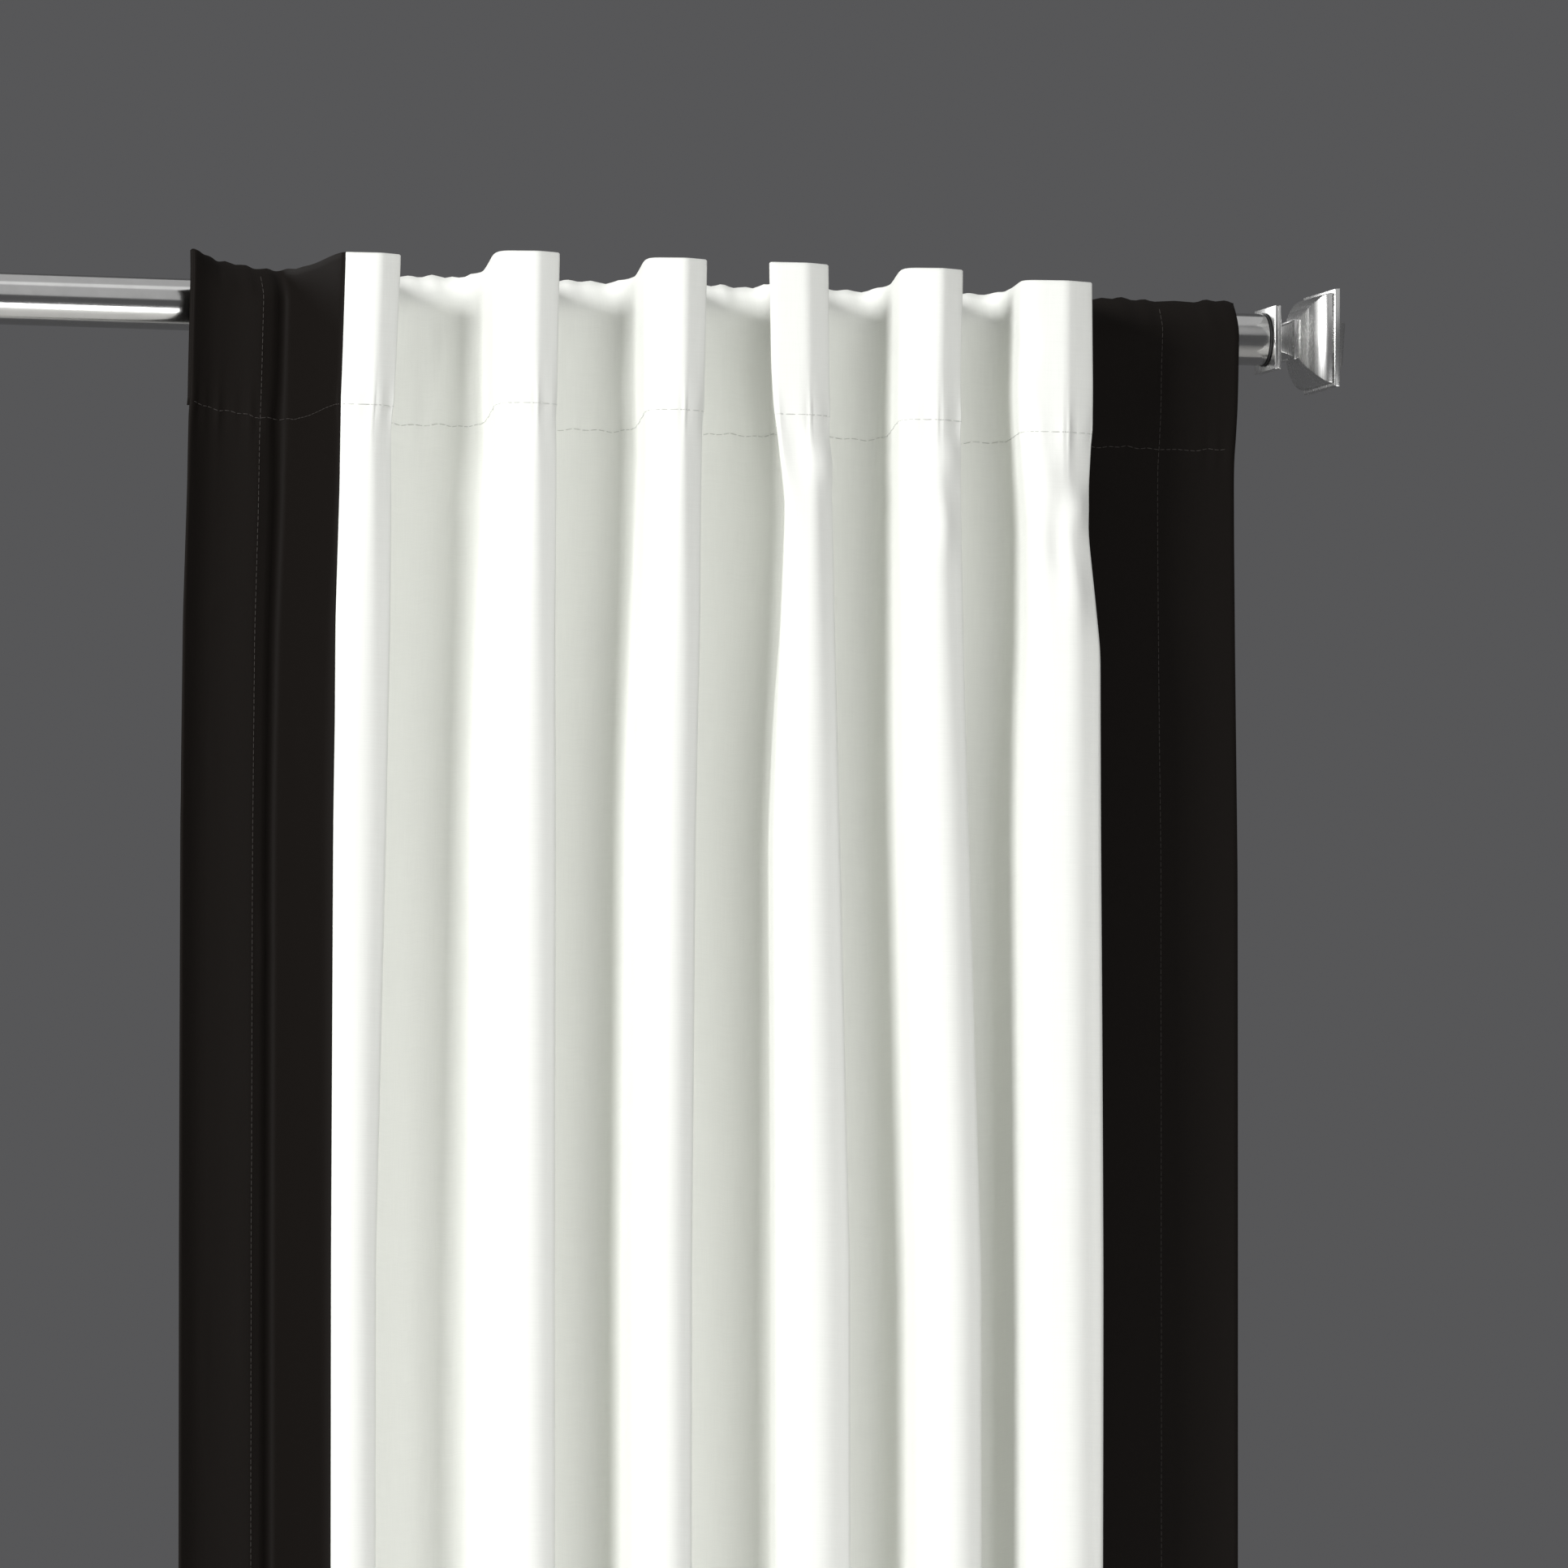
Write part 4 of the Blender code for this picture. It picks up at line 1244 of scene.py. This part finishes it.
def build_cradle_screw():
    """A countersunk pan head with a cross slot."""
    low, high = corners("right_cradle_screw")
    length, head = float(high[1] - low[1]), float(high[0] - low[0]) / 2
    stations = [(0.0, head * 0.86), (0.0003, head), (0.0010, head), (0.0010, SHANK)]
    stations += thread_turns(0.0022, 8)
    stations += [(length - 0.0006, SHANK), (length, 0.0012)]
    screw = extruded_bar(28, stations)
    for angle in (0.0, math.pi / 2):
        slot_cutter = new_cube((0.0040, 0.0007, 0.0012))
        set_down(slot_cutter, (0.0, 0.0, 0.0), (0.0, 0.0, angle))
        drilled(screw, slot_cutter)
    middle_x, middle_z = float(low[0] + high[0]) / 2, float(low[2] + high[2]) / 2
    set_down(screw, (middle_x, float(low[1]), middle_z), INTO_WALL)
    return named(screw, "right_arm_screw", SCREW_STEEL)


def build_rod_screw():
    """A thumb screw with a knurled head and a slotted end."""
    low, high = corners("right_rod_screw")
    tip, end = float(high[2]), float(low[2])
    neck = end + THUMB_HEAD
    head = float(high[0] - low[0]) / 2
    reach = tip - neck
    stations = [(0.0, 0.0013), (0.0005, SHANK)]
    stations += thread_turns(0.0010, 4)
    stations += [(reach, SHANK), (reach, head - 0.0011), (reach + 0.0005, head - 0.0004)]
    stations += [(reach + THUMB_HEAD - 0.0005, head - 0.0004), (reach + THUMB_HEAD, head - 0.0011)]
    screw = extruded_bar(36, stations)
    knurl = head * 0.8

    def on_knurl(c, n):
        step = int(math.floor(math.degrees(math.atan2(c.y, c.x)) / 10.0 + 0.5))
        return abs(n.z) < 0.1 and math.hypot(c.x, c.y) > knurl and step % 2 == 0

    pick_faces(screw, on_knurl)
    bpy.ops.mesh.extrude_faces_move(TRANSFORM_OT_shrink_fatten={"value": 0.0004})
    done_editing()
    slot_cutter = new_cube((head * 3, 0.0008, 0.0020))
    set_down(slot_cutter, (0.0, 0.0, reach + THUMB_HEAD))
    drilled(screw, slot_cutter)
    middle_x = float(low[0] + high[0]) / 2
    set_down(screw, (middle_x, AXIS_Y, tip), UPSIDE_DOWN)
    return named(screw, "right_thumb_screw", SCREW_STEEL)


def build_brackets():
    """The right bracket is modelled and copied to the left one's place."""
    apart = corners("left_wall_plate")[0][0] - corners("right_wall_plate")[0][0]
    across = Matrix.Translation(Vector((apart, 0.0, 0.0)))
    cradle_nodes = ["cradle_" + part for part in CRADLE_PARTS]
    pieces = [
        (build_wall_plate(), "plate", "brackets", "nickel_bracket", ["wall_plate"]),
        (build_arm(), "arm", "brackets", "nickel_bracket", ["bracket_arm"]),
        (build_cradle(), "cup", "brackets", "nickel_bracket", cradle_nodes),
        (build_cradle_screw(), "arm_screw", "brackets", "steel_screw", ["cradle_screw"]),
        (build_rod_screw(), "thumb_screw", "rod_screw", "steel_screw", ["rod_screw"]),
    ]
    for piece, part, body, slot, nodes in pieces:
        twin = moved_copy(piece, "left_" + part, across)
        for side, one in (("right", piece), ("left", twin)):
            own_body = side + "_" + body if body == "rod_screw" else body
            belongs(one, own_body, ["%s_%s" % (side, node) for node in nodes])


def finish_kept_nodes():
    """The studs stay as they are in the frame, in screw steel."""
    for side in ("right", "left"):
        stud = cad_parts[side + "_finial_stud"]
        stud.data.materials.clear()
        stud.data.materials.append(SCREW_STEEL)


build_bands()
for number in range(1, 8):
    body = {1: "leading_edge", 7: "trailing_edge"}.get(number, "tab_%d" % number)
    build_tab(number, body, 0.0014 if number == 7 else 0.0)
build_tube("polished_outer_tube", "outer_tube", "rod")
build_tube("polished_inner_tube", "inner_tube", "inner_rod")
build_mouth_ring()
build_finials()
build_brackets()
finish_kept_nodes()

# ---------------------------------------------------------------- camera and light
VIEW_AZIMUTH = math.radians(-18.3)
VIEW_ELEVATION = math.radians(-5.3)
FRAME_HEIGHT = 0.767
LENS = 1500.0
SENSOR = 36.0

target = Vector((TUBE_HIGH[0] - 0.247, AXIS_Y, AXIS_Z - 0.226))
away = Vector((math.sin(VIEW_AZIMUTH), -math.cos(VIEW_AZIMUTH), 0.0)) * math.cos(VIEW_ELEVATION)
away.z = math.sin(VIEW_ELEVATION)
camera_data = bpy.data.cameras.new("camera")
camera_data.lens = LENS
camera_data.sensor_width = SENSOR
camera = bpy.data.objects.new("camera", camera_data)
bpy.context.scene.collection.objects.link(camera)
camera.location = target + away * (FRAME_HEIGHT * LENS / SENSOR)
camera.rotation_euler = (-away).to_track_quat("-Z", "Y").to_euler()
bpy.context.scene.camera = camera
bpy.context.scene.view_settings.view_transform = "Standard"

world = bpy.data.worlds.new("studio")
world.use_nodes = True
world.node_tree.nodes["Background"].inputs["Color"].default_value = (0.095, 0.095, 0.098, 1.0)
world.node_tree.nodes["Background"].inputs["Strength"].default_value = 1.0
bpy.context.scene.world = world


def area_light(name, place, aim, size, power, size_y=None):
    data = bpy.data.lights.new(name, "AREA")
    data.shape = "RECTANGLE"
    data.size = size
    data.size_y = size_y or size
    data.energy = power
    light = bpy.data.objects.new(name, data)
    bpy.context.scene.collection.objects.link(light)
    light.location = place
    light.rotation_euler = (Vector(aim) - Vector(place)).to_track_quat("-Z", "Y").to_euler()


area_light("key", (-2.85, -2.15, 0.9), (0.1, AXIS_Y, -0.4), 1.0, 135.0)
area_light("fill", (0.5, -2.6, -1.7), (0.1, AXIS_Y, -0.4), 2.0, 31.0, 0.9)
area_light("overhead", (0.5, -1.5, 1.5), (0.1, AXIS_Y, 0.0), 2.6, 9.0, 2.6)
area_light("ceiling", (0.6, 0.1, 2.2), (0.6, 0.1, 0.0), 3.0, 12.0)
area_light("behind", (-1.6, 2.6, 0.9), (0.0, 0.0, -0.6), 1.6, 30.0)

bpy.ops.mesh.primitive_plane_add(size=1.0, location=(0.0, -1.3, FLOOR_Z))
floor = bpy.context.object
floor.name = "studio_floor"
floor.scale = (8.0, 3.0, 1.0)
bpy.ops.object.transform_apply(location=False, rotation=False, scale=True)
floor.data.materials.append(plastic_material("floor_paint", (0.75, 0.74, 0.72), 0.7))
